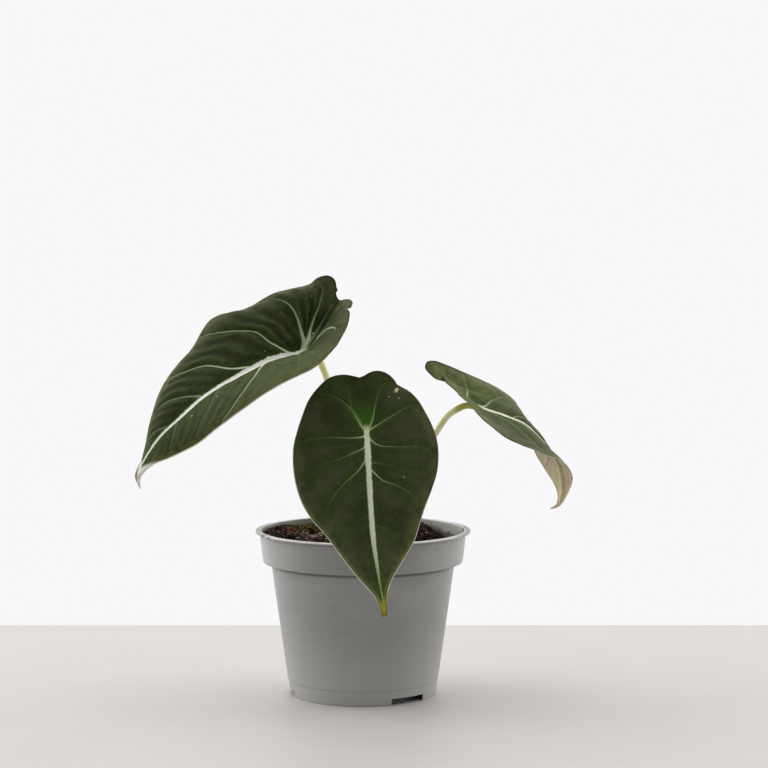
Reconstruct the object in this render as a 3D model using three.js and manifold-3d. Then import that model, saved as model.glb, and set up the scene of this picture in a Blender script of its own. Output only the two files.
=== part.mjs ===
// A young velvet-leaved alocasia in a round plastic nursery pot.
// Millimetres, +Z up. The pot's axis is the Z axis and the pot stands on z = 0.
// The plant's front is towards -Y.

import * as THREE from 'three';
import { mergeVertices } from 'three/addons/utils/BufferGeometryUtils.js';
import Module from 'manifold-3d';

const wasm = await Module();
wasm.setup();

// Clearance that neighbouring pieces keep
const GAP = 0.3;

// Pot
const POT_HEIGHT = 91.5;
const LIP_RADIUS = 60;
const LIP_THICKNESS = 1.2;
const COLLAR_TOP_RADIUS = 57.7;
const COLLAR_BOTTOM_RADIUS = 55.8;
const COLLAR_BOTTOM_Z = 74;
const BODY_TOP_RADIUS = 51.4;
const FOOT_RADIUS = 41;
const FOOT_STEP_Z = 8;
const FOOT_STEP_RADIUS = 42.1;
const WALL = 1.1;
const GROOVE_INNER_RADIUS = 33;
const GROOVE_OUTER_RADIUS = 39.6;
const GROOVE_HEIGHT = 4;
const GROOVE_DRAFT = 0.9;
const NOTCH_COUNT = 3;
const NOTCH_WIDTH = 22;
const NOTCH_HEIGHT = 3.7;
const NOTCH_DEPTH = 8;
const FIRST_NOTCH_DEG = 38.2;
const DRAIN_HOLE_RADIUS = 2.6;
const DRAIN_HOLE_DISTANCE = 36.5;
const POT_EDGE = 0.4;
const POT_SEGMENTS = 56;

// Potting mix
const MIX_EDGE_Z = 85.2;
const MIX_SLOPE = 0.035;
const MIX_MOUND = 2.2;
const MIX_MOUND_RADIUS = 26;
const MIX_LUMP = 0.8;
const MIX_SEGMENTS = 40;
const MIX_RINGS = 8;
const CRUMB_COUNT = 36;
const CRUMB_SEED = 12;
const CRUMB_SIZE = 1;
const CRUMB_EXTRA_SIZE = 1.6;
const CRUMB_SINK = 0.35;

// Crown, the short stem that the leaf stalks grow from
const CROWN_RADIUS = 8;
const CROWN_BOTTOM_Z = 66;
const CROWN_TOP_Z = 95;
const CROWN_SEGMENTS = 24;
const CROWN_RINGS = 4;
const CROWN_RING_BOTTOM_Z = 80;
const CROWN_RING_TAPER = 0.35;
const CROWN_RING_DEPTH = 0.7;

// Leaf blades
const BLADE_THICKNESS = 0.9;
const BLADE_ROWS = 28;
const HALF_COLUMNS = 5;
const TIP_WIDTH = 1.2;
const MIDRIB_RADIUS = [1.3, 0.5];
const VEIN_RADIUS = [0.8, 0.45];
const RIB_COVER = 0.3;
const VEIN_SWEEP = 0.65;
const RIB_SIDES = 5;
const MIDRIB_STEPS = 16;
const VEIN_STEPS = 6;
const MIDRIB_END = 0.985;
const SAMPLES_PER_SPAN = 12;
const NORMAL_STEP = 0.01;

// Leaf stalks
const STALK_SIDES = 8;
const STALK_STEPS = 22;
const STALK_BOTTOM_Z = 76;
const STALK_CUTTER_REACH = 12;

// Each blade is spanned between its rib and its two margins, all as points that the curve runs through.
// Left and right are as seen on the upper side with the tip down. Both margins start at the rib's
// first point, the bottom of the notch between the lobes, go round the lobe and end near the tip.
// lobe is the margin point where the lobe's end turns into the side, counted with the notch as 0.
// junction is the rib point where the ribs meet over the stalk, counted the same way.
// bulge lists how far each half arches above its chord, as [share of the rib, height].
// A vein leaves the rib at the first share of its length and reaches the second share near the
// margin, over the third number's share of the half blade's width.
const LEAVES = {
  left: {
    rib: [
      [-13, 9, 219], [-21, 3, 206], [-32, -6, 191.5], [-44, -12, 188.5], [-55, -18, 185],
      [-72, -27, 176.5], [-83.5, -33, 169.5], [-93, -37, 162], [-101.5, -40.5, 154],
      [-109.5, -43, 146], [-115.5, -45.5, 137.5], [-119.5, -47, 130], [-121, -47.5, 125], [-119, -47, 120],
    ],
    junction: 2,
    left: {
      margin: [
        [-15, 9.5, 224], [-15.5, 10.5, 229.5], [-17.5, 11, 232], [-21, 13, 233], [-26, 16.5, 231.5], [-31, 20.5, 228],
        [-41.5, 22.5, 225.5], [-51.5, 20.5, 222.5], [-64, 19, 215.5], [-73.5, 18, 212.5],
        [-81.5, 15.5, 210.5], [-88, 12.5, 206], [-95.5, 7.5, 193], [-105, -2.5, 181],
        [-110.5, -13.5, 172], [-114.5, -25, 159.5], [-117, -35, 145], [-118, -40, 137],
        [-120.5, -45, 131], [-121.5, -47.5, 126],
      ],
      lobe: 4,
      bulge: [[0, 0], [0.3, 3], [0.7, 1.5], [1, 0]],
      veins: [[0.225, 0.04, 0.7], [0.225, 0.19, 0.9], [0.26, 0.45, 0.93], [0.42, 0.63, 0.93], [0.6, 0.77, 0.85]],
    },
    right: {
      margin: [
        [-9, 1, 220], [-5.5, -10, 218.5], [-7, -21, 216], [-7, -30, 212.5], [-8, -39.5, 207.5],
        [-11.5, -49, 200], [-17, -54.5, 193], [-26.5, -60.5, 184.5], [-43, -66, 177],
        [-63, -67, 163.5], [-77, -63, 153], [-87.5, -58, 144.5], [-102, -53, 137.5],
        [-110.5, -51.5, 135], [-116.5, -49.5, 130], [-120, -48, 125.5],
      ],
      lobe: 2,
      bulge: [[0, 0], [0.3, 1], [0.7, 1.5], [1, 0]],
      veins: [[0.225, 0.04, 0.7], [0.225, 0.17, 0.9], [0.26, 0.45, 0.9], [0.36, 0.66, 0.93], [0.58, 0.78, 0.85]],
    },
    stalk: {
      path: [
        [-4, 2, STALK_BOTTOM_Z], [-5, 2.5, 100], [-9.5, 4, 134], [-15.5, 2, 159], [-20.4, 0, 176],
        [-23.2, -1, 183.5], [-26.5, -2.8, 187.5], [-30, -5, 190.5], [-33, -6.5, 194],
      ],
      radii: [2.9, 2.1],
    },
  },
  front: {
    rib: [
      [-1.5, -38.5, 179], [1, -45, 166], [2.5, -52, 151.5], [4, -61, 126], [6, -69, 97],
      [9, -74.5, 75], [11, -78, 64], [12, -80, 57],
    ],
    junction: 2,
    left: {
      margin: [
        [-6, -38, 180], [-14.5, -39, 180], [-19, -40.5, 178], [-24, -43, 173.5], [-28.5, -46.5, 167.5],
        [-31.5, -50, 160.5], [-34.5, -54, 151.5], [-36.5, -57.5, 142], [-36, -61.5, 130], [-32.5, -65.5, 116.5],
        [-26.5, -68.5, 106], [-18, -71, 96.5], [-5, -75, 79.5], [3, -76.5, 71.5], [8, -78, 65.5], [10, -79.5, 61],
      ],
      lobe: 3,
      bulge: [[0, 0], [0.3, 4], [0.7, 3], [1, 0]],
      veins: [[0.237, 0.08, 0.88], [0.25, 0.28, 0.93], [0.3, 0.42, 0.88], [0.35, 0.57, 0.85], [0.56, 0.68, 0.75]],
    },
    right: {
      margin: [
        [3.5, -37.5, 181.5], [8, -37, 182.5], [12.5, -38, 181.5], [17.5, -40, 177.5], [19, -41, 175],
        [25, -43.5, 172], [28.5, -45, 169], [32, -47, 164.5], [37.5, -52, 154], [40.5, -57, 143], [40, -61, 131.5], [37, -64, 121.5],
        [32.5, -67.5, 109.5], [28, -71, 95.5], [21.5, -73.5, 84.5], [15.5, -75.5, 74.5], [13, -77, 69],
        [13, -78.5, 63.5],
      ],
      lobe: 3,
      bulge: [[0, 0], [0.3, 4], [0.7, 3], [1, 0]],
      veins: [[0.237, 0.05, 0.85], [0.237, 0.18, 0.93], [0.27, 0.38, 0.9], [0.39, 0.6, 0.88], [0.6, 0.71, 0.75]],
    },
    stalk: {
      path: [
        [0, -4, STALK_BOTTOM_Z], [-0.5, -4.5, 98], [-3, -12, 124], [-2, -28, 149], [0.5, -42, 157],
        [2, -50, 153], [3.5, -56, 150],
      ],
      radii: [2.8, 2],
    },
  },
  right: {
    rib: [
      [45.5, 4.5, 176.5], [48.5, 4.5, 174], [52.5, 4, 170.5], [56.5, 3.5, 167], [60, 2.5, 164],
      [65.5, 1, 160.5], [70.5, 0.5, 158], [78.5, 0, 155.5], [89, 0, 151], [98, 0, 143.5],
      [104, 1, 136.5], [108.5, 2, 131], [111, 4, 124.5], [112, 5, 116.5],
      [111.5, 5, 109.5], [109, 4.5, 104.5], [105, 4, 102.5],
    ],
    junction: 4,
    left: {
      margin: [
        [46, 0, 174.7], [48, -8, 172.5], [51, -14, 171], [53, -19, 168.5], [55, -23, 166.5],
        [57, -26.5, 165], [60, -30, 162], [63.5, -32.5, 158], [68.5, -34.5, 153.5], [77.5, -35, 146.5],
        [85.5, -33, 142.5], [93.5, -29.5, 139], [100, -24, 135.5], [107.5, -17, 132.5],
        [113.5, -10, 128], [116.5, -4.5, 122.5], [116.5, -0.5, 117], [113, 2.5, 108], [109.5, 4, 103.8],
      ],
      lobe: 2,
      bulge: [[0, 0], [0.3, 0.3], [0.55, 1], [0.85, 1], [1, 0]],
      veins: [[0.18, 0.1, 0.7], [0.18, 0.22, 0.9], [0.26, 0.46, 0.9], [0.43, 0.63, 0.88]],
    },
    right: {
      margin: [
        [43.5, 6.5, 176], [40, 9.5, 176], [36.5, 12, 178.5], [34.8, 13.5, 181.5], [36, 14.5, 184.5],
        [39.5, 16, 185], [43.5, 18, 184],
        [57, 24, 178], [72, 32, 171], [79, 34, 167], [86.5, 34.5, 161], [90.5, 34.5, 154],
        [95, 33, 147], [97.5, 30, 140], [98, 26, 132.5], [102.5, 18, 124], [108, 12, 115.5], [110, 8, 108],
        [108.5, 5.8, 104.8],
      ],
      lobe: 5,
      bulge: [[0, 0], [0.3, 4], [0.6, 2], [1, 0]],
      veins: [[0.18, 0.09, 0.6], [0.18, 0.19, 0.92], [0.22, 0.41, 0.9], [0.43, 0.61, 0.88]],
    },
    stalk: {
      path: [
        [4, 2, STALK_BOTTOM_Z], [7, 2, 95], [17.5, 1, 112], [31, 0, 131], [41.5, 0, 146.5], [49.5, 0, 157.5],
        [53, 0.5, 160.5], [57, 1.3, 162.3], [61, 2.2, 164.2], [65, 2.6, 165.5],
      ],
      radii: [2.6, 1.7],
    },
  },
};

// Colours, roughness and names of the surfaces
function surface(name, color, roughness) {
  const material = new THREE.MeshStandardMaterial({ color, roughness, metalness: 0 });
  material.name = name;
  return material;
}

const greyPlastic = surface('grey_plastic', 0x8b8c8e, 0.5);
const pottingMix = surface('potting_mix', 0x2b1f18, 0.95);
const crownSkin = surface('crown_skin', 0x8c7350, 0.8);
const stalkSkin = surface('stalk_skin', 0xa3ad74, 0.55);
const leafSkin = surface('leaf_skin', 0x223019, 0.75);

// Solids
function toSolid(geometry) {
  geometry.deleteAttribute('normal');
  geometry.deleteAttribute('uv');
  const merged = mergeVertices(geometry);
  return new wasm.Manifold(new wasm.Mesh({
    numProp: 3,
    vertProperties: new Float32Array(merged.attributes.position.array),
    triVerts: new Uint32Array(merged.index.array),
  }));
}

function toMesh(solid, name, material) {
  const mesh = solid.getMesh();
  const geometry = new THREE.BufferGeometry();
  geometry.setAttribute('position', new THREE.BufferAttribute(mesh.vertProperties.slice(), 3));
  geometry.setIndex(new THREE.BufferAttribute(mesh.triVerts.slice(), 1));
  geometry.computeVertexNormals();
  const piece = new THREE.Mesh(geometry, material);
  piece.name = name;
  return piece;
}

// Turns a profile of [radius, z] points about the Z axis
function lathe(profile, segments) {
  const points = profile.map(([radius, z]) => new THREE.Vector2(radius, z));
  return new THREE.LatheGeometry(points, segments).rotateX(Math.PI / 2);
}

function cylinder(radius, lowZ, highZ, segments) {
  return toSolid(lathe([[0, lowZ], [radius, lowZ], [radius, highZ], [0, highZ]], segments));
}

// A closed tube of changing radius along a curve
function tube(curve, radiusAt, steps, sides) {
  const frames = curve.computeFrenetFrames(steps, false);
  const positions = [];
  const triangles = [];
  for (let step = 0; step <= steps; step += 1) {
    const centre = curve.getPointAt(step / steps);
    const radius = radiusAt(step / steps);
    for (let side = 0; side < sides; side += 1) {
      const angle = (side / sides) * 2 * Math.PI;
      const point = centre.clone()
        .addScaledVector(frames.normals[step], radius * Math.cos(angle))
        .addScaledVector(frames.binormals[step], radius * Math.sin(angle));
      positions.push(point.x, point.y, point.z);
    }
  }
  for (let step = 0; step < steps; step += 1) {
    for (let side = 0; side < sides; side += 1) {
      const next = (side + 1) % sides;
      const a = step * sides + side;
      const b = step * sides + next;
      triangles.push(a, b, a + sides, b, b + sides, a + sides);
    }
  }
  const last = steps * sides;
  for (let side = 1; side < sides - 1; side += 1) {
    triangles.push(0, side + 1, side, last, last + side, last + side + 1);
  }
  const geometry = new THREE.BufferGeometry();
  geometry.setAttribute('position', new THREE.Float32BufferAttribute(positions, 3));
  geometry.setIndex(triangles);
  return toSolid(geometry);
}

// Value of a smooth track through [share, value] stations
function trackValue(stations, share) {
  for (let i = 1; i < stations.length; i += 1) {
    const [shareA, valueA] = stations[i - 1];
    const [shareB, valueB] = stations[i];
    if (share <= shareB) {
      return valueA + (valueB - valueA) * THREE.MathUtils.smoothstep(share, shareA, shareB);
    }
  }
  return stations[stations.length - 1][1];
}

// A small seeded random generator, so that every build is alike
function seededRandom(seed) {
  let state = seed;
  return () => {
    state = (state + 0x6d2b79f5) | 0;
    let mixed = Math.imul(state ^ (state >>> 15), 1 | state);
    mixed = (mixed + Math.imul(mixed ^ (mixed >>> 7), 61 | mixed)) ^ mixed;
    return ((mixed ^ (mixed >>> 14)) >>> 0) / 4294967296;
  };
}

// Pot: thin wall with a wide collar, a flat lip, a drainage groove in its floor and notches in its foot
function bodyRadiusAt(z) {
  const share = (z - FOOT_STEP_Z) / (COLLAR_BOTTOM_Z - FOOT_STEP_Z);
  return FOOT_STEP_RADIUS + (BODY_TOP_RADIUS - FOOT_STEP_RADIUS) * share;
}

function collarRadiusAt(z) {
  const top = POT_HEIGHT - LIP_THICKNESS;
  const share = (z - COLLAR_BOTTOM_Z) / (top - COLLAR_BOTTOM_Z);
  return COLLAR_BOTTOM_RADIUS + (COLLAR_TOP_RADIUS - COLLAR_BOTTOM_RADIUS) * share;
}

function makePot() {
  const lipBottom = POT_HEIGHT - LIP_THICKNESS;
  const floorTop = GROOVE_HEIGHT + WALL;
  const shelfTop = COLLAR_BOTTOM_Z + WALL;
  const profile = [
    [0, 0],
    [GROOVE_INNER_RADIUS, 0],
    [GROOVE_INNER_RADIUS + GROOVE_DRAFT, GROOVE_HEIGHT],
    [GROOVE_OUTER_RADIUS - POT_EDGE, GROOVE_HEIGHT],
    [GROOVE_OUTER_RADIUS, 0],
    [FOOT_RADIUS, 0],
    [FOOT_STEP_RADIUS - POT_EDGE, FOOT_STEP_Z],
    [FOOT_STEP_RADIUS, FOOT_STEP_Z + POT_EDGE],
    [BODY_TOP_RADIUS, COLLAR_BOTTOM_Z],
    [COLLAR_BOTTOM_RADIUS - POT_EDGE, COLLAR_BOTTOM_Z],
    [COLLAR_BOTTOM_RADIUS, COLLAR_BOTTOM_Z + POT_EDGE],
    [COLLAR_TOP_RADIUS, lipBottom],
    [LIP_RADIUS - POT_EDGE, lipBottom],
    [LIP_RADIUS, lipBottom + POT_EDGE],
    [LIP_RADIUS, POT_HEIGHT - POT_EDGE],
    [LIP_RADIUS - POT_EDGE, POT_HEIGHT],
    [COLLAR_TOP_RADIUS - WALL + POT_EDGE, POT_HEIGHT],
    [COLLAR_TOP_RADIUS - WALL, POT_HEIGHT - POT_EDGE],
    [collarRadiusAt(shelfTop) - WALL, shelfTop],
    [bodyRadiusAt(shelfTop) - WALL, shelfTop],
    [bodyRadiusAt(floorTop) - WALL, floorTop],
    [GROOVE_INNER_RADIUS + GROOVE_DRAFT - WALL, floorTop],
    [GROOVE_INNER_RADIUS - WALL, WALL],
    [0, WALL],
  ];
  let pot = toSolid(lathe(profile, POT_SEGMENTS));
  for (let i = 0; i < NOTCH_COUNT; i += 1) {
    const turn = [0, 0, FIRST_NOTCH_DEG + (i * 360) / NOTCH_COUNT - 90];
    const notch = wasm.Manifold.cube([NOTCH_DEPTH, NOTCH_WIDTH, 2 * NOTCH_HEIGHT], true)
      .translate([FOOT_RADIUS, 0, 0])
      .rotate(turn);
    const hole = cylinder(DRAIN_HOLE_RADIUS, 0, floorTop + 1, 12)
      .translate([DRAIN_HOLE_DISTANCE, 0, 0])
      .rotate(turn);
    pot = pot.subtract(notch).subtract(hole);
  }
  return toMesh(pot, 'pot', greyPlastic);
}

// Potting mix: fills the pot to a few millimetres below the lip, higher on the left, heaped at the crown
function mixHeight(x, y) {
  const radius = Math.hypot(x, y);
  const edgeRadius = COLLAR_BOTTOM_RADIUS - WALL;
  const mound = MIX_MOUND * Math.exp(-((radius / MIX_MOUND_RADIUS) ** 2));
  const lump = Math.sin(0.31 * x + 1.3) * Math.sin(0.27 * y + 0.4)
    + 0.6 * Math.sin(0.63 * x - 0.41 * y) + 0.5 * Math.sin(0.22 * x + 0.74 * y + 2.1);
  const share = Math.min(1, radius / edgeRadius);
  return MIX_EDGE_Z - MIX_SLOPE * x + mound + MIX_LUMP * lump * (1 - 0.4 * share);
}

function makePottingMix() {
  const floorTop = GROOVE_HEIGHT + WALL + GAP;
  const shelfTop = COLLAR_BOTTOM_Z + WALL + GAP;
  const side = [
    [0, WALL + GAP],
    [GROOVE_INNER_RADIUS - WALL - GAP, WALL + GAP],
    [GROOVE_INNER_RADIUS + GROOVE_DRAFT - WALL - GAP, floorTop],
    [bodyRadiusAt(floorTop) - WALL - GAP, floorTop],
    [bodyRadiusAt(shelfTop) - WALL - GAP, shelfTop],
    [collarRadiusAt(shelfTop) - WALL - GAP, shelfTop],
  ];
  const edgeRadius = collarRadiusAt(MIX_EDGE_Z) - WALL - GAP - 0.2;
  const profile = [...side];
  for (let ring = MIX_RINGS; ring >= 0; ring -= 1) {
    profile.push([(edgeRadius * ring) / MIX_RINGS, MIX_EDGE_Z]);
  }
  const geometry = lathe(profile, MIX_SEGMENTS);
  const position = geometry.attributes.position;
  for (let i = 0; i < position.count; i += 1) {
    if (position.getZ(i) > MIX_EDGE_Z - 0.01) {
      position.setZ(i, mixHeight(position.getX(i), position.getY(i)));
    }
  }
  let mix = toSolid(geometry);
  const random = seededRandom(CRUMB_SEED);
  const crumbs = [];
  while (crumbs.length < CRUMB_COUNT) {
    const angle = random() * 2 * Math.PI;
    const radius = (CROWN_RADIUS + 6) + random() * (edgeRadius - CROWN_RADIUS - 10);
    const size = CRUMB_SIZE + CRUMB_EXTRA_SIZE * random() ** 2;
    const crumb = toSolid(new THREE.OctahedronGeometry(size, 0));
    const x = radius * Math.cos(angle);
    const y = radius * Math.sin(angle);
    crumbs.push(crumb
      .scale([1, 0.75 + 0.4 * random(), 0.7])
      .rotate([360 * random(), 360 * random(), 360 * random()])
      .translate([x, y, mixHeight(x, y) - CRUMB_SINK * size]));
  }
  mix = wasm.Manifold.union([mix, ...crumbs]);
  const crownHole = cylinder(CROWN_RADIUS + GAP, CROWN_BOTTOM_Z - GAP, POT_HEIGHT + 10, CROWN_SEGMENTS);
  return toMesh(mix.subtract(crownHole), 'potting_mix', pottingMix);
}

// Leaf blades
function vectors(points) {
  return points.map((point) => new THREE.Vector3(...point));
}

// The stretch of a curve between two of its points, as a curve of its own
function stretch(curve, from, to) {
  const spans = curve.points.length - 1;
  const samples = [];
  const count = SAMPLES_PER_SPAN * (to - from);
  for (let i = 0; i <= count; i += 1) {
    samples.push(curve.getPoint((from + ((to - from) * i) / count) / spans));
  }
  return new THREE.CatmullRomCurve3(samples, false, 'catmullrom', 0.5);
}

// The curves that one leaf is spanned between
function leafFrame(leaf) {
  const rib = new THREE.CatmullRomCurve3(vectors(leaf.rib), false, 'catmullrom', 0.5);
  const notch = rib.points[0];
  const tip = rib.points.at(-1);
  const ends = {
    left: new THREE.Vector3(...leaf.left.margin.at(-1)),
    right: new THREE.Vector3(...leaf.right.margin.at(-1)),
  };
  const across = ends.right.clone().sub(ends.left).normalize();
  const halves = {};
  for (const [side, sign] of [['left', -1], ['right', 1]]) {
    const end = tip.clone().addScaledVector(across, (sign * TIP_WIDTH) / 2);
    const margin = new THREE.CatmullRomCurve3(
      [notch, ...vectors(leaf[side].margin), end], false, 'catmullrom', 0.5);
    const last = margin.points.length - 1;
    halves[side] = {
      lobe: stretch(margin, 0, leaf[side].lobe),
      edge: stretch(margin, leaf[side].lobe, last),
      bulge: leaf[side].bulge,
    };
  }
  return { rib, halves };
}

// Point between the rib and a margin: along is 0 at the lobes and 1 at the tip, across is -1 to 1
function spanPoint(frame, along, across) {
  const half = across < 0 ? frame.halves.left : frame.halves.right;
  const out = Math.abs(across);
  const ribPoint = frame.rib.getPointAt(along);
  const edgePoint = half.edge.getPointAt(along);
  const lobePoint = half.lobe.getPointAt(out);
  const lobeChord = half.lobe.getPointAt(0).lerp(half.lobe.getPointAt(1), out);
  return ribPoint.lerp(edgePoint, out)
    .addScaledVector(lobePoint.sub(lobeChord), 1 - along);
}

function spanNormal(frame, along, across, pointAt) {
  const limit = (value, low) => Math.min(1, Math.max(low, value));
  const alongA = pointAt(frame, limit(along - NORMAL_STEP, 0), across);
  const alongB = pointAt(frame, limit(along + NORMAL_STEP, 0), across);
  const acrossA = pointAt(frame, along, limit(across - NORMAL_STEP, -1));
  const acrossB = pointAt(frame, along, limit(across + NORMAL_STEP, -1));
  return alongB.sub(alongA).cross(acrossB.sub(acrossA)).normalize();
}

// Point of the upper side, which arches between the rib and the margin
function bladePoint(frame, along, across) {
  const half = across < 0 ? frame.halves.left : frame.halves.right;
  const out = Math.abs(across);
  const arch = 4 * out * (1 - out) * trackValue(half.bulge, along);
  const point = spanPoint(frame, along, across);
  if (arch > 0) {
    point.addScaledVector(spanNormal(frame, along, across, spanPoint), arch);
  }
  return point;
}

// The blade as a solid between its upper side lifted by raise and its lower side
function bladeSolid(frame, raise, thickness) {
  const columns = 2 * HALF_COLUMNS;
  const upper = [];
  const lower = [];
  for (let row = 0; row <= BLADE_ROWS; row += 1) {
    for (let column = 0; column <= columns; column += 1) {
      const along = row / BLADE_ROWS;
      const across = column / HALF_COLUMNS - 1;
      const point = bladePoint(frame, along, across);
      const normal = spanNormal(frame, along, across, bladePoint);
      upper.push(...point.clone().addScaledVector(normal, raise).toArray());
      lower.push(...point.addScaledVector(normal, raise - thickness).toArray());
    }
  }
  const triangles = [];
  const rowLength = columns + 1;
  const below = upper.length / 3;
  for (let row = 0; row < BLADE_ROWS; row += 1) {
    for (let column = 0; column < columns; column += 1) {
      const a = row * rowLength + column;
      const b = a + 1;
      const c = a + rowLength;
      const d = c + 1;
      triangles.push(a, c, b, b, c, d);
      triangles.push(below + a, below + b, below + c, below + b, below + d, below + c);
    }
  }
  const rim = [];
  for (let column = 0; column < columns; column += 1) rim.push(column);
  for (let row = 0; row < BLADE_ROWS; row += 1) rim.push(row * rowLength + columns);
  for (let column = columns; column > 0; column -= 1) rim.push(BLADE_ROWS * rowLength + column);
  for (let row = BLADE_ROWS; row > 0; row -= 1) rim.push(row * rowLength);
  rim.forEach((a, i) => {
    const b = rim[(i + 1) % rim.length];
    triangles.push(a, b, below + b, a, below + b, below + a);
  });
  const geometry = new THREE.BufferGeometry();
  geometry.setAttribute('position', new THREE.Float32BufferAttribute([...upper, ...lower], 3));
  geometry.setIndex(triangles);
  return toSolid(geometry);
}

// A raised rib on the lower side, along [along, across] places of the blade.
// It reaches up into the blade to RIB_COVER below the upper side.
function ribSolid(frame, placeAt, radii, steps) {
  const radiusAt = (share) => radii[0] + (radii[1] - radii[0]) * share;
  const points = [];
  for (let step = 0; step <= steps; step += 1) {
    const [along, across] = placeAt(step / steps);
    const normal = spanNormal(frame, along, across, bladePoint);
    const depth = radiusAt(step / steps) + RIB_COVER;
    points.push(bladePoint(frame, along, across).addScaledVector(normal, -depth));
  }
  const curve = new THREE.CatmullRomCurve3(points, false, 'catmullrom', 0.5);
  return tube(curve, radiusAt, steps, RIB_SIDES);
}

function junctionShare(frame, leaf) {
  const toJunction = stretch(frame.rib, 0, leaf.junction).getLength();
  return toJunction / stretch(frame.rib, 0, leaf.rib.length - 1).getLength();
}

// Leaf stalks stand in sockets of the crown and reach up to the lower side of their blade.
// extra makes the stalk that much thicker and longer at the bottom, for a socket with clearance.
function stalkSolid(leaf, extra) {
  const path = vectors(leaf.stalk.path);
  path[0].z -= extra;
  const curve = new THREE.CatmullRomCurve3(path, false, 'catmullrom', 0.5);
  const [bottom, top] = leaf.stalk.radii;
  const radiusAt = (share) => top + (bottom - top) * (1 - share) ** 2 + extra;
  return tube(curve, radiusAt, STALK_STEPS, STALK_SIDES);
}

function makeLeaf(leaf, name) {
  const frame = leafFrame(leaf);
  const start = junctionShare(frame, leaf);
  const ribs = [ribSolid(frame, (share) => [start + (MIDRIB_END - start) * share, 0], MIDRIB_RADIUS, MIDRIB_STEPS)];
  for (const [side, sign] of [['left', -1], ['right', 1]]) {
    for (const [from, to, reach] of leaf[side].veins) {
      const placeAt = (share) => [from + (to - from) * share ** VEIN_SWEEP, sign * reach * share];
      ribs.push(ribSolid(frame, placeAt, VEIN_RADIUS, VEIN_STEPS));
    }
  }
  const ribbing = wasm.Manifold.union(ribs).subtract(stalkSolid(leaf, GAP));
  const blade = bladeSolid(frame, 0, BLADE_THICKNESS);
  return toMesh(blade.add(ribbing), `leaf_${name}`, leafSkin);
}

function makeStalk(leaf, name) {
  const frame = leafFrame(leaf);
  const cutter = bladeSolid(frame, STALK_CUTTER_REACH, STALK_CUTTER_REACH + BLADE_THICKNESS + GAP);
  return toMesh(stalkSolid(leaf, 0).subtract(cutter), `petiole_${name}`, stalkSkin);
}

// Crown: a short stout stem ringed with the scars of old leaves, with a socket for each stalk
function makeCrown() {
  const profile = [
    [0, CROWN_BOTTOM_Z],
    [CROWN_RADIUS - 3, CROWN_BOTTOM_Z],
    [CROWN_RADIUS, CROWN_BOTTOM_Z + 4],
  ];
  const ringPitch = (CROWN_TOP_Z - CROWN_RING_BOTTOM_Z) / CROWN_RINGS;
  for (let ring = 0; ring < CROWN_RINGS; ring += 1) {
    const z = CROWN_RING_BOTTOM_Z + ring * ringPitch;
    const radius = CROWN_RADIUS - CROWN_RING_TAPER * ring;
    profile.push([radius, z]);
    profile.push([radius - CROWN_RING_DEPTH, z + CROWN_RING_DEPTH]);
  }
  profile.push([CROWN_RADIUS - 2.2, CROWN_TOP_Z], [0, CROWN_TOP_Z + 0.6]);
  let crown = toSolid(lathe(profile, CROWN_SEGMENTS));
  for (const leaf of Object.values(LEAVES)) {
    crown = crown.subtract(stalkSolid(leaf, GAP));
  }
  return toMesh(crown, 'crown', crownSkin);
}

const plant = new THREE.Group();
plant.add(makePot(), makePottingMix(), makeCrown());
for (const [name, leaf] of Object.entries(LEAVES)) {
  plant.add(makeStalk(leaf, name), makeLeaf(leaf, name));
}

export default plant;
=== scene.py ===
# %% [markdown]
# # A young velvet-leaved alocasia in a nursery pot
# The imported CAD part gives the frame: where the pot stands, where each stalk rises and where each blade
# hangs. This lesson dresses it, piece by piece, with finer shapes and with the surfaces of plastic, peat
# and leaf. Every shape is drawn in millimetres, as the CAD part is, and turned into metres when it becomes
# a piece.

import math
import random
from types import SimpleNamespace

import bmesh
import bpy
import numpy as np
from mathutils import Euler, Matrix, Vector, kdtree, noise


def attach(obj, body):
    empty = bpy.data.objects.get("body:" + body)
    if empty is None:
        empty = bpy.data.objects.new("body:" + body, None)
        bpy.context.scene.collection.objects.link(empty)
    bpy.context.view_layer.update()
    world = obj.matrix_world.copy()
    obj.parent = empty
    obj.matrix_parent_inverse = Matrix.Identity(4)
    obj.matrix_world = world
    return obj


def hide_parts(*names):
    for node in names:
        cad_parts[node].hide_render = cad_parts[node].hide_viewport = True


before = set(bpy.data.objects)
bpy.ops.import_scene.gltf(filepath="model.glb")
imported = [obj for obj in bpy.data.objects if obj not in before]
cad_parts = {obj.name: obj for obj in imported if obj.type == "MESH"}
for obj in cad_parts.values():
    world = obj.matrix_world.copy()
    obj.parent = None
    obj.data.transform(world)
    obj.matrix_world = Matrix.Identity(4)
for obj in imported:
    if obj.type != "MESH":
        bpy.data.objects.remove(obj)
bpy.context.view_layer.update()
print("CAD nodes:", ", ".join(sorted(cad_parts)))

# %% Units
MM = 0.001
IMAGE_SIZE = 768


def srgb(red, green, blue):
    """The linear colour of a screen colour whose parts run from 0 to 255."""
    parts = [part / 255 for part in (red, green, blue)]
    return tuple(p / 12.92 if p <= 0.04045 else ((p + 0.055) / 1.055) ** 2.4 for p in parts) + (1.0,)


# %% [markdown]
# ## Shader maths
# A material is a tree of nodes. Writing one node at a time hides the idea, so a small class wraps a socket
# and lets Python's own operators add the Math nodes: `1 - mask` or `line * glow` read as what they mean.
# Every other node comes from its one method, which takes the kind, the settings and the sockets.


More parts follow.
